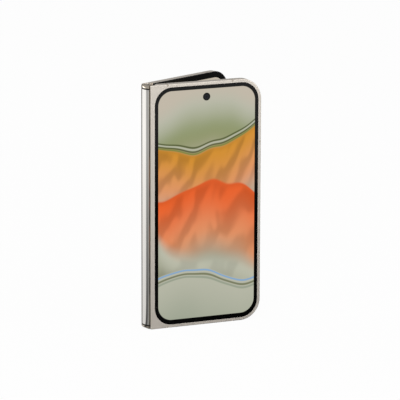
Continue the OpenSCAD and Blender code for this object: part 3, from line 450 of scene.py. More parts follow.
def picture_group(picture):
    """Node group that paints the waves."""
    group = bpy.data.node_groups.new("Soft waves", "ShaderNodeTree")
    group.interface.new_socket("Place", in_out="INPUT", socket_type="NodeSocketVector")
    group.interface.new_socket("Colour", in_out="OUTPUT", socket_type="NodeSocketColor")
    tree = Tree(group)
    place = group.nodes.new("NodeGroupInput").outputs["Place"]
    waves = Waves(tree, place, picture.low, picture.top)
    waves.wave(picture.mist, picture.green, height=0.87, slope=0.1, swing=0.05, pace=4.2,
               phase=0.4, soft=0.05, fade=(0.1, 0.3))
    waves.wave(picture.amber, picture.peach, height=0.70, slope=0.16, swing=0.07, pace=3.6,
               phase=2.2, soft=0.012, fade=(0.16, 0.34))
    waves.folds(pace=42, amount=0.16, last=0.3)
    waves.strands((picture.leaf, picture.mist, picture.leaf, picture.green), first=-0.024,
                  step=0.008, width=0.005)
    waves.wave(picture.orange, picture.peach, height=0.60, slope=-0.12, swing=0.08, pace=3.9,
               phase=5.2, soft=0.006, fade=(0.2, 0.4))
    waves.folds(pace=30, amount=0.14, last=0.36)
    waves.wave(picture.mist, picture.shadow, height=0.36, slope=-0.18, swing=0.05, pace=4.4,
               phase=3.5, soft=0.05, fade=(0.12, 0.4))
    waves.folds(pace=26, amount=0.08, last=0.5)
    waves.wave(picture.mist, picture.low, height=0.14, slope=0.08, swing=0.05, pace=4.0,
               phase=1.0, soft=0.004, fade=(0.2, 0.5))
    waves.strands((picture.shadow, picture.low), first=0.024, step=0.014, width=0.007)
    line = tree.math("COMPARE", waves.depth, 0.006, 0.004)
    out = group.nodes.new("NodeGroupOutput")
    tree.put(out.inputs["Colour"], tree.mix(line, waves.light, picture.line))
    return group


def shared_picture(settings):
    """The one node group that every lit face shows."""
    return bpy.data.node_groups.get("Soft waves") or picture_group(settings.picture)


def rounded_mask(tree, x, z, half_w, half_h, radius):
    """1 inside a rounded rectangle about the origin, 0 outside it."""
    def over(value, straight):
        beyond = tree.math("SUBTRACT", tree.math("ABSOLUTE", value), straight)
        return tree.math("MAXIMUM", beyond, 0)

    reach = tree.reach(over(x, half_w - radius), over(z, half_h - radius))
    return tree.span(reach, radius - PRINT_EDGE, radius, 1.0, 0.0)


def cover_span(settings):
    """Half the width and half the height of the cover's lit picture."""
    low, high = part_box("cover_glass")
    half = (high - low) / 2
    return half.x - settings.faces.border_sides, half.z - settings.faces.border_ends


def lit_face(name, settings, vector, half_w, half_h, radius, rough, hole=None):
    """Glossy black face that shows the picture inside its border, and a camera's black hole with
    a painted lens glint, a faint glowing ring.

    vector makes coordinates from the picture's middle: across first, then up."""
    made, tree, shader = material(name, Base_Color=settings.faces.border_colour,
                                  Roughness=rough, Specular_IOR_Level=0.3,
                                  Emission_Strength=settings.faces.glow)
    x, z, _ = tree.parts(vector(tree))
    mask = rounded_mask(tree, x, z, half_w, half_h, radius)
    wide, high = cover_span(settings)
    picture = tree.node("Group", node_tree=shared_picture(settings))
    tree.fill(picture, Place=tree.join(tree.math("MULTIPLY_ADD", x, 0.5 / wide, 0.5),
                                       tree.math("MULTIPLY_ADD", z, 0.5 / high, 0.5)))
    light = tree.mix(mask, (0, 0, 0), picture.outputs[0])
    if hole:
        across, up, hole_r = hole
        # Painted glint: a faint dark-blue glowing ring in the camera's hole stands for light
        # caught on its lens.
        glint_ring_r, glint_ring_half, painted_lens_glint = 0.42 * hole_r, 0.06 * hole_r, (0.010, 0.014, 0.026)
        reach = tree.reach(tree.math("SUBTRACT", x, across), tree.math("SUBTRACT", z, up))
        light = tree.mix(tree.span(reach, hole_r - PRINT_EDGE, hole_r), (0, 0, 0), light)
        light = tree.mix(tree.math("COMPARE", reach, glint_ring_r, glint_ring_half), light, painted_lens_glint)
    tree.fill(shader, Emission_Color=light)
    return made


# ---- Pieces ----

def mesh_of(name, shape):
    """Mesh of a bmesh, which is freed."""
    mesh = bpy.data.meshes.new(name)
    shape.to_mesh(mesh)
    shape.free()
    return mesh


def in_scene(name, data):
    """New object in the scene's collection."""
    made = bpy.data.objects.new(name, data)
    bpy.context.scene.collection.objects.link(made)
    return made


def points(geometry):
    return [one for one in geometry if isinstance(one, bmesh.types.BMVert)]


def piece(name, shape, made, body, replaces=()):
    """Turns a bmesh into a piece that rides on a body."""
    mesh = mesh_of(name, shape)
    mesh.shade_smooth()
    mesh.set_sharp_from_angle(angle=SHARP_FROM)
    mesh.materials.append(made)
    solid = in_scene(name, mesh)
    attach(solid, body)
    if replaces:
        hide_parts(*replaces)
    return solid


def turned(profile, steps=48):
    """Solid of revolution about z: the profile's points are radius and height."""
    shape = bmesh.new()
    corners = [shape.verts.new((radius, 0, height)) for radius, height in profile]
    edges = [shape.edges.new(pair) for pair in zip(corners, corners[1:])]
    bmesh.ops.spin(shape, geom=corners + edges, cent=(0, 0, 0), axis=(0, 0, 1),
                   angle=2 * math.pi, steps=steps, use_merge=True)
    bmesh.ops.remove_doubles(shape, verts=shape.verts, dist=1e-7)
    bmesh.ops.recalc_face_normals(shape, faces=shape.faces)
    return shape


def joined(shapes):
    """One bmesh from several."""
    whole = bmesh.new()
    for shape in shapes:
        mesh = mesh_of("part", shape)
        whole.from_mesh(mesh)
        bpy.data.meshes.remove(mesh)
    return whole


def stand_outwards(shape, centre):
    """Turns a shape from the z axis to the back of the rear half, at a place in the world."""
    turn = REAR_TURN.to_4x4() @ Matrix.Rotation(-math.pi / 2, 4, "X")
    bmesh.ops.transform(shape, matrix=Matrix.Translation(centre) @ turn, verts=shape.verts)
    return shape


class FoldShape:
    """The folding screen's bend at rest: two flat strips and an arc, in the spine's plane."""

    def __init__(self, fold):
        screen_low, screen_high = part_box("front_inner_screen")
        half_gap = (REAR_AXIS - FRONT_AXIS).length / 2
        start = Vector((screen_low.x - HINGE_X, screen_high.y - FRONT_AXIS.y - half_gap))
        spare = half_gap - AXIS_U
        length_half = start.x + spare
        axis = Vector((AXIS_U, -half_gap))
        self.half_gap = half_gap
        self.start = axis + Matrix.Rotation(-REST_TURN, 2) @ (start - axis)
        self.aim = math.pi + fold.tilt * (1 - REST_TURN / (math.pi / 2)) - REST_TURN
        self.sweep = self.aim - math.pi / 2
        along = Vector((math.cos(self.aim), math.sin(self.aim)))
        self.radius = (-(self.start.y + length_half * along.y)
                       / (-along.x - self.sweep * along.y))
        self.flat = length_half - self.radius * self.sweep
        self.length_half = length_half
        self.along = along
        self.centre_x = self.start.x + self.flat * along.x + self.radius * along.y

    def world(self, place):
        """World place of a point of the spine's plane."""
        turned_place = SPINE_TURN @ Vector((place.x - AXIS_U, place.y + self.half_gap, 0))
        return Vector((FRONT_AXIS.x + turned_place.x, FRONT_AXIS.y + turned_place.y, 0))

    def strip(self, fold):
        """Flat strip from the front half's screen to a little behind the bend."""
        shape = bmesh.new()
        ends = [shape.verts.new((self.start.x, self.start.y, height))
                for height in (fold.low, BODY_H - fold.low)]
        edge = shape.edges.new(ends)
        moved = bmesh.ops.extrude_edge_only(shape, edges=[edge])["geom"]
        step = self.along * (self.flat + fold.hidden)
        bmesh.ops.translate(shape, vec=(step.x, step.y, 0), verts=points(moved))
        back = bmesh.ops.extrude_face_region(shape, geom=shape.faces[:])["geom"]
        bmesh.ops.translate(shape, vec=(-self.along.y * fold.thickness,
                                        self.along.x * fold.thickness, 0),
                            verts=points(back))
        return shape

    def bend(self, fold):
        """The arc between the strips, turned from its front end to its rear end."""
        shape = bmesh.new()
        first = (self.centre_x - self.radius * math.cos(self.sweep),
                 -self.radius * math.sin(self.sweep))
        ends = [shape.verts.new((*first, height)) for height in (fold.low, BODY_H - fold.low)]
        edge = shape.edges.new(ends)
        bmesh.ops.spin(shape, geom=[*ends, edge], cent=(self.centre_x, 0, 0), axis=(0, 0, -1),
                       angle=2 * self.sweep, steps=fold.steps)
        back = bmesh.ops.extrude_face_region(shape, geom=shape.faces[:])["geom"]
        wider = 1 + fold.thickness / self.radius
        bmesh.ops.scale(shape, vec=(wider, wider, 1),
                        space=Matrix.Translation((-self.centre_x, 0, 0)), verts=points(back))
        return shape

    def lay_out(self, shape, along_screen):
        """Flat layout of the whole screen: 0 to 1 across both halves and up."""
        layer = shape.loops.layers.uv.new("screen")
        for face in shape.faces:
            for loop in face.loops:
                across = along_screen(loop.vert.co)
                loop[layer].uv = (0.5 + across / (2 * SCREEN_REACH), loop.vert.co.z / BODY_H)

    def along_strip(self, place):
        return self.length_half - (place.xy - self.start).dot(self.along)

    def along_bend(self, place):
        return self.radius * math.atan2(-place.y, self.centre_x - place.x)

    def finish(self, shape):
        """Points the faces outwards and stands the shape in the world at rest."""
        bmesh.ops.recalc_face_normals(shape, faces=shape.faces)
        to_world = (Matrix.Translation((FRONT_AXIS.x, FRONT_AXIS.y, 0)) @ SPINE_TURN.to_4x4()
                    @ Matrix.Translation((-AXIS_U, self.half_gap, 0)))
        bmesh.ops.transform(shape, matrix=to_world, verts=shape.verts)
        return shape


# ---- Operators ----

class PHONE_OT_frames(bpy.types.Operator):
    """Finish the two frames, the card tray and the antenna bands"""
    bl_idname = "phone.frames"
    bl_label = "Frames"

    def execute(self, context):
        settings = context.scene.phone
        metals, plastics = settings.metals, settings.plastics
        thickness = HIGH.y - LOW.y
        dress(self.body_metal("Blasted body metal", metals), "card_tray")

        def front_place(tree):
            x, y, _ = tree.parts(tree.solid_coords())
            return tree.math("SUBTRACT", x, HINGE_X), tree.math("SUBTRACT", HIGH.y, y)

        def rear_place(tree):
            return tree.parts(tree.rear_coords(on_rear(0, thickness, 0)))[:2]

        for side, place in (("front", front_place), ("rear", rear_place)):
            made = self.body_metal(f"Blasted body metal, {side}", metals)
            dress(self.with_lip_lacquer_and_gap_shade(made, settings, place), f"{side}_frame")
            band = grained(f"Antenna band plastic, {side}", plastics.bands, grain=0.08,
                           bump=0.04, rough=(0.4, 0.5), metallic=0.0)
            dress(self.with_lip_lacquer_and_gap_shade(band, settings, place), f"{side}_antenna_bands")
        dress(grained("Tray seal rubber", plastics.tray_seal, grain=0.1, bump=0.1,
                      rough=(0.5, 0.7), metallic=0.0), "card_tray_seal")
        return {"FINISHED"}

    def body_metal(self, name, metals):
        return grained(name, metals.body, grain=0.05, bump=0.5 * metals.grain,
                       rough=(metals.satin - 0.04, metals.satin + 0.04),
                       metallic=metals.body_share, mottle=0.015)

    def with_lip_lacquer_and_gap_shade(self, made, settings, place):
        """Black lacquer on the lip beside the inner screen, and painted shade on the edge beside
        the spine, for the shadow in the gap there.

        place gives the distances from the hinge edge and below the inner face."""
        tree = Tree(made.node_tree)
        across, depth = place(tree)
        shader = made.node_tree.nodes["Principled BSDF"]
        body = shader.inputs["Base Color"].links[0].from_socket
        metals = settings.metals
        # Painted shade: the frames' edges beside the spine are darkened to stand for the shadow
        # in the gap there.
        painted_gap_shade = tree.math("LESS_THAN", across, metals.edge)
        tree.fill(shader, Base_Color=tree.mix(painted_gap_shade, body, metals.shade))
        lacquer = tree.fill(tree.node("BsdfPrincipled"), Base_Color=settings.plastics.black,
                            Roughness=0.3, Specular_IOR_Level=0.15)
        on_lip = tree.math("LESS_THAN", depth, metals.lip)
        tree.surface(tree.mix_shaders(on_lip, shader.outputs[0], lacquer))
        return made


class PHONE_OT_spine(bpy.types.Operator):
    """Finish the spine's cover, end caps and seals"""
    bl_idname = "phone.spine"
    bl_label = "Spine"

    def execute(self, context):
        metals, plastics = context.scene.phone.metals, context.scene.phone.plastics
        dress(grained("Polished spine metal", metals.spine, grain=0.2, bump=0.02,
                      rough=(0.07, 0.12), mottle=0.01), "spine_cover")
        dress(grained("Satin cap metal", metals.trim, grain=0.05, bump=metals.grain,
                      rough=(0.2, 0.28)), "spine_cap_top", "spine_cap_bottom")
        dress(grained("Spine seal rubber", plastics.rubber, grain=0.1, bump=0.1,
                      rough=(0.45, 0.6), metallic=0.0, Specular_IOR_Level=0.15), "spine_seals")
        return {"FINISHED"}


class PHONE_OT_hinge(bpy.types.Operator):
    """Finish the hinge units inside the spine"""
    bl_idname = "phone.hinge"
    bl_label = "Hinge units"

    def execute(self, context):
        metals = context.scene.phone.metals
        dress(brushed("Bracket steel", metals.dark_steel, rough=0.4), "hinge_brackets")
        dress(brushed("Arm steel", metals.steel, rough=0.32), "front_swing_arms",
              "rear_swing_arms")
        dress(brushed("Plate steel", metals.steel, rough=0.25), "front_support_plate",
              "rear_support_plate")
        dress(grained("Screw steel", metals.dark_steel, grain=0.03, bump=0.1,
                      rough=(0.25, 0.4)), "front_arm_screws", "rear_arm_screws")
        dress(grained("Gear brass", metals.brass, grain=0.03, bump=0.06, rough=(0.2, 0.32)),
              "pinion_1", "pinion_2", "pinion_3", "pinion_4")
        return {"FINISHED"}


class PHONE_OT_cover_face(bpy.types.Operator):
    """Finish the cover glass and its lit picture"""
    bl_idname = "phone.cover_face"
    bl_label = "Cover face"

    def execute(self, context):
        settings = context.scene.phone
        faces = settings.faces
        centre = middle("cover_glass") + Vector((0, 0, faces.picture_rise))
        half_w, half_h = cover_span(settings)

        def across_and_up(tree):
            x, _, z = tree.parts(tree.place(tree.solid_coords(), location=-centre))
            return tree.join(x, z)

        hole = (HINGE_X + faces.camera_u - centre.x, BODY_H - faces.camera_top - centre.z,
                faces.camera_r)
        dress(lit_face("Lit cover glass", settings, across_and_up, half_w, half_h,
                       faces.picture_r, rough=0.04, hole=hole), "cover_glass")
        return {"FINISHED"}


class PHONE_OT_inner_screen(bpy.types.Operator):
    """Finish the inner screen and build its bend"""
    bl_idname = "phone.inner_screen"
    bl_label = "Inner screen"

    def execute(self, context):
        settings = context.scene.phone
        faces, fold = settings.faces, settings.fold
        spare = SCREEN_REACH - HALF_W
        half_w, half_h = SCREEN_REACH - faces.inner_border, BODY_H / 2 - faces.inner_border

        def on_front_half(tree):
            x, _, z = tree.parts(tree.place(tree.solid_coords(),
                                            location=(spare - HINGE_X, 0, -BODY_H / 2)))
            return tree.join(x, z)

        def on_rear_half(tree):
            x, _, z = tree.parts(tree.rear_coords(on_rear(-spare, 0, BODY_H / 2)))
            return tree.join(tree.math("MULTIPLY", x, -1), z)

        def on_bend(tree):
            layout = tree.node("UVMap", uv_map="screen").outputs[0]
            return tree.place(layout, location=(-SCREEN_REACH, -BODY_H / 2, 0),
                              scale=(2 * SCREEN_REACH, BODY_H, 1))

        face = (half_w, half_h, faces.inner_r)
        for side, vector in (("front", on_front_half), ("rear", on_rear_half)):
            dress(lit_face(f"Inner screen, {side} half", settings, vector, *face, rough=0.12),
                  f"{side}_inner_screen")
        bent = lit_face("Inner screen, bend", settings, on_bend, *face, rough=0.12)
        shape = FoldShape(fold)
        for side, body in (("front", "front_plate"), ("rear", "rear_plate")):
            strip = shape.strip(fold)
            shape.lay_out(strip, shape.along_strip)
            if side == "rear":
                bmesh.ops.scale(strip, vec=(1, -1, 1), verts=strip.verts)
                self.swap_sides(strip)
            piece(f"fold_screen_{side}", shape.finish(strip), bent, body,
                  ["fold_screen"])
        bend = shape.bend(fold)
        shape.lay_out(bend, shape.along_bend)
        # A point a little way from the arc's centre towards its crest, in the world; nothing
        # below uses it.
        way = 0.08 * shape.radius
        anchor = shape.world(Vector((shape.centre_x - way, 0)))
        bend_piece = piece("fold_screen_middle", shape.finish(bend), bent, "spine",
                           ["fold_screen"])
        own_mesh(bend_piece)
        dress(grained("Bezel plastic", settings.plastics.black, grain=0.05, bump=0.05,
                      rough=(0.25, 0.35), metallic=0.0, Specular_IOR_Level=0.15),
              "front_bezel", "rear_bezel")
        return {"FINISHED"}

    def swap_sides(self, shape):
        """The rear half's picture runs the other way from the middle."""
        layer = shape.loops.layers.uv["screen"]
        for face in shape.faces:
            for loop in face.loops:
                loop[layer].uv.x = 1 - loop[layer].uv.x


class PHONE_OT_back(bpy.types.Operator):
    """Finish the back glass, the camera island, the flash and the buttons"""
    bl_idname = "phone.back"
    bl_label = "Back"

    def execute(self, context):
        metals, plastics = context.scene.phone.metals, context.scene.phone.plastics
        dress(grained("Matt back glass", plastics.back, grain=0.04, bump=0.03,
                      rough=(0.3, 0.36), metallic=0.0, mottle=0.01, Coat_Weight=0.15,
                      Coat_Roughness=0.25), "back_glass")
        dress(grained("Blasted trim metal", metals.trim, grain=0.05, bump=metals.grain,
                      rough=(metals.satin - 0.1, metals.satin - 0.04), metallic=0.9,
                      mottle=0.015), "camera_island", "power_button", "volume_rocker")
        dress(self.ring_metal(metals), "camera_rings")
        dress(self.flash_plastic(plastics), "flash_window")
        return {"FINISHED"}

    def ring_metal(self, metals):
        """Turned metal: fine circles about each camera."""
        made, tree, shader = material("Turned ring metal", Base_Color=metals.trim, Metallic=1.0,
                                      Roughness=0.2)
        circles = tree.ripples(camera_reach(tree), 0.06 * MM)
        tree.fill(shader, Normal=tree.bump(circles, 0.1, 0.01 * MM))
        return made

    def flash_plastic(self, plastics):
        """Diffuser with the circular steps of a flat lens."""
        made, tree, shader = material("Flash diffuser", Roughness=0.25,
                                      Subsurface_Weight=0.3, Subsurface_Scale=0.001)
        x, _, z = tree.parts(tree.rear_coords(middle("flash_window")))
        reach = tree.reach(x, z)
        step, lamp_yellow = 0.22 * MM, (0.85, 0.68, 0.2)
        steps = tree.math("FRACT", tree.math("MULTIPLY", reach, 1 / step))
        outside_lamp = tree.span(reach, 0.5 * MM, 0.9 * MM, smooth=True)
        tree.fill(shader, Base_Color=tree.mix(outside_lamp, lamp_yellow, plastics.flash),
                  Normal=tree.bump(steps, 0.4, 0.05 * MM))
        return made


def camera_reach(tree):
    """Distance from the axis of the nearest of the three rear cameras."""
    pitch = bpy.context.scene.phone.lenses.pitch
    x, _, z = tree.parts(tree.rear_coords(middle("camera_windows")))
    return tree.reach(x, tree.math("WRAP", z, pitch / 2, -pitch / 2))


class PHONE_OT_cameras(bpy.types.Operator):
    """Finish the cameras and build their lenses"""
    bl_idname = "phone.cameras"
    bl_label = "Cameras"

    def execute(self, context):
        lenses = context.scene.phone.lenses
        black = self.barrel_black(lenses)
        dress(self.window_glass(lenses), "camera_windows")
        dress(black, "camera_modules")
        lens = self.lens_glass(lenses)
        dress(lens, "cover_camera", "inner_camera")
        under_window = REAR_TURN @ Vector((0, -0.3 * MM, 0))
        top = middle("camera_windows") + under_window
        ring_sizes = ((2.55, 0.4), (2.2, 0.75))
        domes, rings = [], []
        for k in (-1, 0, 1):
            centre = top + Vector((0, 0, k * lenses.pitch))
            domes.append(stand_outwards(self.dome(lenses), centre))
            rings += [stand_outwards(self.step_ring(reach, depth), centre)
                      for reach, depth in ring_sizes]
        piece("lens_domes", joined(domes), lens, "rear_half")
        piece("lens_step_rings", joined(rings), black, "rear_half")
        return {"FINISHED"}

    def dome(self, lenses):
        """Crowned front lens; heights are from the top of the camera's barrel."""
        radius = (lenses.dome_r ** 2 + lenses.dome_high ** 2) / (2 * lenses.dome_high)
        widest = math.asin(lenses.dome_r / radius)
        seat, rim, facets = -1.15 * MM, 0.1 * MM, 10
        crown = [(radius * math.sin(widest * k / facets),
                  seat + radius * (math.cos(widest * k / facets) - math.cos(widest)))
                 for k in range(facets + 1)]
        return turned([*crown, (lenses.dome_r, seat - rim), (0, seat - rim)])

    def step_ring(self, reach, depth):
        """Thin step inside the barrel's cone, from its radius and depth in millimetres."""
        edge, inside, under, seat = reach - 0.4, reach - 0.46, reach - 0.1, -depth - 0.12
        outline = ((reach, -depth), (edge, -depth), (inside, -depth - 0.06), (inside, seat),
                   (under, seat), (reach, -depth))
        return turned([(radius * MM, height * MM) for radius, height in outline])

    def barrel_black(self, lenses):
        made, tree, shader = material("Blackened barrel", Base_Color=lenses.barrel,
                                      Roughness=0.35, Metallic=0.4)
        grooves = tree.ripples(camera_reach(tree), 0.12 * MM)
        tree.fill(shader, Normal=tree.bump(grooves, 0.25, 0.03 * MM))
        return made

    def lens_glass(self, lenses):
        """Dark coated glass with a violet gloss, and a painted green reflection of the coating
        where it turns away.
        """
        made, tree, shader = material("Coated front lens", Roughness=0.03, IOR=1.7,
                                      Specular_Tint=(0.55, 0.5, 1.0), Coat_Weight=0.4)
        # Painted reflection: the base colour turns green where the lens faces away, standing for
        # the coating's reflection.
        painted_coating_green = (0.02, 0.07, 0.045)
        weight = tree.node("LayerWeight")
        tree.fill(shader, Base_Color=tree.mix(weight.outputs["Facing"], lenses.glass,
                                              painted_coating_green))
        return made

    def window_glass(self, lenses):
        """Clear in the middle of each window, black print around it."""
        made, tree, shader = material("Camera window glass", Base_Color=(1, 1, 1),
                                      Roughness=0.0, Transmission_Weight=1.0, IOR=1.45)
        print_share = tree.span(camera_reach(tree), lenses.clear_r,
                                lenses.clear_r + PRINT_EDGE)
        black = tree.fill(tree.node("BsdfPrincipled"), Base_Color=lenses.barrel,
                          Roughness=0.03)
        tree.surface(tree.mix_shaders(print_share, shader.outputs[0], black))
        return made


class PHONE_OT_sockets(bpy.types.Operator):
    """Finish the sockets and build the charging socket's contacts"""
    bl_idname = "phone.sockets"
    bl_label = "Sockets and sound"

    def execute(self, context):
        metals, plastics = context.scene.phone.metals, context.scene.phone.plastics
        dress(brushed("Drawn tin plate", metals.tin, rough=0.3), "usb_socket", "card_socket")
        dress(self.mesh_black(plastics), "speaker", "earpiece")
        dress(brushed("Motor can", metals.steel, rough=0.28, along=0), "vibration_motor")
        gilt = grained("Gilt contact", metals.brass, grain=0.02, bump=0.05,
                       rough=(0.15, 0.25))
        piece("socket_contacts", self.contacts(), gilt, "rear_half")
        return {"FINISHED"}

    def mesh_black(self, plastics):
        """Black plastic behind a fine woven mesh."""
        made, tree, shader = material("Sound mesh", Roughness=0.55)
        holes = tree.node("TexVoronoi", feature="F1")
        tree.fill(holes, Vector=tree.solid_coords(), Scale=1 / (0.25 * MM), Randomness=0.0)
        thread = tree.span(holes.outputs["Distance"], 0.3, 0.4)
        hole_black = (0.002, 0.002, 0.002)
        tree.fill(shader, Base_Color=tree.mix(thread, hole_black, plastics.black),
                  Normal=tree.bump(thread, 0.6, 0.05 * MM))
        return made

    def contacts(self):
        """Two rows of twelve strips on the socket's tongue, with rounded ends."""
        centre, count, pitch, off_middle = middle("usb_socket"), 12, 0.5 * MM, 0.36 * MM
        wide, thick, long = 0.25 * MM, 0.03 * MM, 3.2 * MM
        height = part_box("usb_socket")[0].z + 3.6 * MM
        shape = bmesh.new()
        for k in range(count):
            for face in (-1, 1):
                across = (k - (count - 1) / 2) * pitch
                place = (Matrix.Translation((centre.x, centre.y, height)) @ REAR_TURN.to_4x4()
                         @ Matrix.Translation((across, face * off_middle, 0))
                         @ Matrix.Diagonal((wide, thick, long, 1)))
                bmesh.ops.create_cube(shape, size=1, matrix=place)
        short = [edge for edge in shape.edges if edge.calc_length() < 2 * thick]
        bmesh.ops.bevel(shape, geom=short, offset=0.08 * MM, segments=3, profile=0.5,
                        affect="EDGES", material=-1)
        return shape


class PHONE_OT_inside(bpy.types.Operator):
    """Finish the boards, batteries and the other parts inside the halves"""
    bl_idname = "phone.inside"
    bl_label = "Inside"

    def execute(self, context):
        metals, plastics = context.scene.phone.metals, context.scene.phone.plastics
        dress(self.board(plastics), "main_board", "front_board")
        dress(self.cell(plastics), "front_battery", "rear_battery")
        dress(self.coil(metals), "charging_coil")
        dress(grained("Shield tin", metals.tin, grain=0.3, bump=0.15, rough=(0.3, 0.45)),
              "board_shield")
        dress(grained("Magnet nickel", metals.steel, grain=0.05, bump=0.04,
                      rough=(0.12, 0.2)), "front_magnets", "rear_magnets")
        dress(grained("Switch dome steel", metals.steel, grain=0.03, bump=0.04,
                      rough=(0.15, 0.25)), "power_switch", "volume_switches")
        dress(self.panel(plastics), "cover_screen")
        return {"FINISHED"}

    def board(self, plastics):
        """Lacquered board with plated pads and faint tracks."""
        made, tree, shader = material("Board lacquer", Roughness=0.35, Coat_Weight=0.3)
        spots = tree.node("TexVoronoi", feature="F1", distance="CHEBYCHEV")
        tree.fill(spots, Vector=tree.solid_coords(), Scale=1 / (1.4 * MM), Randomness=0.6)
        pad = tree.span(spots.outputs["Distance"], 0.2, 0.18)
        tracks = tree.node("TexVoronoi", feature="DISTANCE_TO_EDGE")
        tree.fill(tracks, Vector=tree.solid_coords(), Scale=1 / (2.6 * MM), Randomness=0.8)
        track = tree.span(tracks.outputs["Distance"], 0.05, 0.03)
        base = tree.mix(track, plastics.board, shaded(plastics.board, 1.6))
        tree.fill(shader, Base_Color=tree.mix(pad, base, plastics.pads), Metallic=pad,
                  Normal=tree.bump(pad, 0.3, 0.05 * MM))
        return made

    def cell(self, plastics):
        """Foil wrap with soft creases."""
        made, tree, shader = material("Cell wrap", Metallic=0.3)
        creases = tree.noise(tree.solid_coords(), 1 / (6 * MM), 5, 0.6)
        tree.fill(shader, Roughness=tree.span(creases, 0.3, 0.7, 0.25, 0.5),
                  Base_Color=tree.mix(creases, plastics.cell, shaded(plastics.cell, 1.5)),
                  Normal=tree.bump(creases, 0.3, 0.3 * MM))
        return made

    def coil(self, metals):
        """Wound wire: ridges about the coil's middle, with painted shade in the grooves between
        the turns.
        """
        made, tree, shader = material("Wound wire", Metallic=1.0, Roughness=0.3)
        x, _, z = tree.parts(tree.rear_coords(middle("charging_coil")))
        wires = tree.ripples(tree.reach(x, z), 0.3 * MM)
        # Painted shade: the copper is darkened to half in the grooves between the turns.
        tree.fill(shader, Base_Color=tree.mix(tree.span(wires, -1, -0.4),
                                              shaded(metals.copper, 0.5), metals.copper),
                  Normal=tree.bump(wires, 0.6, 0.08 * MM))
        return made

    def panel(self, plastics):
        """Back of a screen panel: black film with a fine grid."""
        made, tree, shader = material("Panel film", Roughness=0.3)
        grid = tree.node("TexBrick")
        tree.fill(grid, Vector=tree.place(tree.solid_coords(), rotation=(math.pi / 2, 0, 0)),
                  Scale=1 / (1.2 * MM), Color1=plastics.black, Color2=plastics.black,
                  Mortar=(0.03, 0.03, 0.035), Mortar_Size=0.02, Mortar_Smooth=0.3)
        tree.fill(shader, Base_Color=grid.outputs["Color"])
        return made


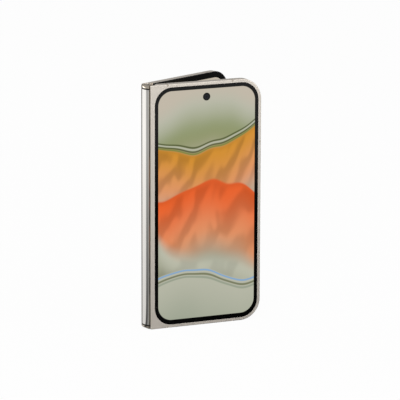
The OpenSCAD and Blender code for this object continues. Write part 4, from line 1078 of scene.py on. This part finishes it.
class PHONE_OT_stage(bpy.types.Operator):
    """Build the floor, the lamps, the surroundings and the camera"""
    bl_idname = "phone.stage"
    bl_label = "Studio"

    def execute(self, context):
        studio = context.scene.phone.studio
        self.floor()
        self.surroundings(context.scene, studio)
        self.lamp("Key", studio.key, place=(-0.7, -1.3, 0.5), size=0.9)
        self.lamp("Fill", studio.fill, place=(1.0, -0.9, 0.35), size=0.9)
        self.lamp("Back", studio.back, place=(-1.0, 1.2, 0.3), size=0.5)
        self.camera(context.scene, studio)
        return {"FINISHED"}

    def floor(self):
        """Round floor: white to the camera, its sheen to metal and glass, open from below."""
        reach, sunk, white_share = 6, 0.2 * MM, 0.95
        shape = bmesh.new()
        bmesh.ops.create_circle(shape, cap_ends=True, segments=64, radius=reach)
        bmesh.ops.translate(shape, verts=shape.verts, vec=(0, 0, -sunk))
        floor = in_scene("floor", mesh_of("floor", shape))
        made, tree, shader = material("Pale floor", Base_Color=(0.93, 0.93, 0.93),
                                      Roughness=0.6)
        path = tree.node("LightPath")
        seen = tree.glow((1, 1, 1), 1)
        mirrored = tree.glow((1, 1, 1), self.sheen(tree))
        to_camera = tree.math("MULTIPLY", path.outputs["Is Camera Ray"], white_share)
        light = tree.mix_shaders(to_camera, shader.outputs[0], seen)
        light = tree.mix_shaders(path.outputs["Is Glossy Ray"], light, mirrored)
        light = tree.mix_shaders(tree.node("NewGeometry").outputs["Backfacing"], light,
                                 tree.node("BsdfTransparent").outputs[0])
        tree.surface(light)
        floor.data.materials.append(made)
        floor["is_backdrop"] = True

    def sheen(self, tree):
        """How bright the floor looks in metal and glass: darker near the phone and in front.

        Each level beside the spine is a turn about it in degrees and a brightness."""
        levels = ((-119, 0.2), (-99, 0.3), (-87, 1), (-8.4, 1), (1.4, 0), (17.7, 0),
                  (26.4, 0.3), (47, 0.3), (54.6, 0), (97, 0))
        far, near_dark, far_dark, near_bright, far_bright = 0.6, 0.04, 0.4, 0.7, 1.04
        x, y, _ = tree.parts(tree.solid_coords())
        reach = tree.reach(x, y)
        turn = self.turn_about(tree, x, y, (0, 0))
        share = tree.node("ValToRGB")
        self.set_levels(share.color_ramp, levels)
        tree.put(share.inputs[0], tree.span(self.turn_about(tree, x, y, SHEEN_CENTRE),
                                            -180, 180))
        beside = tree.between(share.outputs[0], tree.span(reach, 0, far, near_dark, far_dark),
                              tree.span(reach, 0, far, near_bright, far_bright))
        before = tree.math("MULTIPLY", tree.span(reach, 0.3, 0.7, 0.02, 0.62, smooth=True),
                           tree.span(turn, 130, 140, 1.0, 0.05))
        return tree.between(tree.span(turn, 92, 100), beside, before)

    def turn_about(self, tree, x, y, centre):
        """Turn of a place on the floor about a centre, in degrees, from -X towards -Y."""
        turn = tree.math("ARCTAN2", tree.math("SUBTRACT", centre[1], y),
                         tree.math("SUBTRACT", centre[0], x))
        return tree.math("DEGREES", turn)

    def set_levels(self, ramp, levels):
        """Sets a ramp over a full turn."""
        ramp.elements.remove(ramp.elements[0])
        ramp.elements[0].position = (levels[0][0] + 180) / 360
        for place, _ in levels[1:]:
            ramp.elements.new((place + 180) / 360)
        for stop, (_, level) in zip(ramp.elements, levels):
            stop.color = (level, level, level, 1)

    def surroundings(self, scene, studio):
        """Grey sky, brighter overhead and in front, that the camera sees as white."""
        world = bpy.data.worlds.new("Studio")
        world.use_nodes = True
        scene.world = world
        tree = Tree(world.node_tree)
        sky = world.node_tree.nodes["Background"]
        seen = tree.fill(tree.node("Background"), Color=(1, 1, 1), Strength=1.0)
        _, y, z = tree.parts(tree.node("TexCoord").outputs["Generated"])
        overhead = tree.span(z, 0.2, 0.6, 0.2, 0.56, smooth=True)
        in_front = tree.span(y, 0.2, -0.4, 0.22, 1.0, smooth=True)
        level = tree.math("MAXIMUM", overhead, in_front)
        tree.fill(sky, Color=(1, 1, 1), Strength=tree.math("MULTIPLY", level, studio.world))
        light = tree.mix_shaders(tree.node("LightPath").outputs["Is Camera Ray"],
                                 sky.outputs[0], seen)
        tree.put(world.node_tree.nodes["World Output"].inputs[0], light)

    def lamp(self, name, power, place, size):
        """Square lamp aimed at the phone's middle, out of the camera's sight."""
        data = bpy.data.lights.new(name, "AREA")
        data.energy = power
        data.shape = "SQUARE"
        data.size = size
        lamp = in_scene(name, data)
        lamp.location = place
        lamp.visible_camera = False
        aim = Vector((0, 0, BODY_H / 2)) - lamp.location
        lamp.rotation_euler = aim.to_track_quat("-Z", "Y").to_euler()

    def camera(self, scene, studio):
        data = bpy.data.cameras.new("Camera")
        data.sensor_width = 36
        data.lens = studio.lens
        data.clip_start = 0.05
        data.clip_end = 50
        camera = in_scene("Camera", data)
        turn = (Matrix.Rotation(-studio.azimuth, 3, "Z")
                @ Matrix.Rotation(math.pi / 2 - studio.elevation, 3, "X")
                @ Matrix.Rotation(studio.roll, 3, "Z"))
        aim = Vector((HINGE_X + studio.aim_u, FACE_Y, BODY_H / 2))
        place = aim - turn @ Vector((studio.right, -studio.down, -studio.distance))
        camera.matrix_world = Matrix.Translation(place) @ turn.to_4x4()
        scene.camera = camera


class PHONE_PT_panel(bpy.types.Panel):
    """Lists the phone's operators in the sidebar"""
    bl_idname = "PHONE_PT_panel"
    bl_label = "Folding phone"
    bl_space_type = "VIEW_3D"
    bl_region_type = "UI"
    bl_category = "Folding phone"

    def draw(self, context):
        for operator in OPERATORS:
            self.layout.operator(operator.bl_idname)


GROUPS = (PhoneMetals, PhonePlastics, PhoneFaces, PhoneFold, PhoneLenses, PhonePicture,
          PhoneStudio, PhoneSettings)
OPERATORS = (PHONE_OT_frames, PHONE_OT_spine, PHONE_OT_hinge, PHONE_OT_cover_face,
             PHONE_OT_inner_screen, PHONE_OT_back, PHONE_OT_cameras, PHONE_OT_sockets,
             PHONE_OT_inside, PHONE_OT_stage)
CLASSES = (*GROUPS, *OPERATORS, PHONE_PT_panel)


def register():
    for one in CLASSES:
        bpy.utils.register_class(one)
    bpy.types.Scene.phone = PointerProperty(type=PhoneSettings)


def unregister():
    del bpy.types.Scene.phone
    for one in reversed(CLASSES):
        bpy.utils.unregister_class(one)


def corners():
    return [list(corner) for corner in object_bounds()]


def main():
    register()
    bpy.context.scene.view_settings.view_transform = "Standard"
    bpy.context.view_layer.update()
    bpy.ops.phone.frames()
    bpy.ops.phone.spine()
    bpy.ops.phone.hinge()
    bpy.ops.phone.cover_face()
    bpy.ops.phone.inner_screen()
    bpy.ops.phone.back()
    bpy.ops.phone.cameras()
    bpy.ops.phone.sockets()
    bpy.ops.phone.inside()
    bpy.ops.phone.stage()


if __name__ == "__main__":
    main()
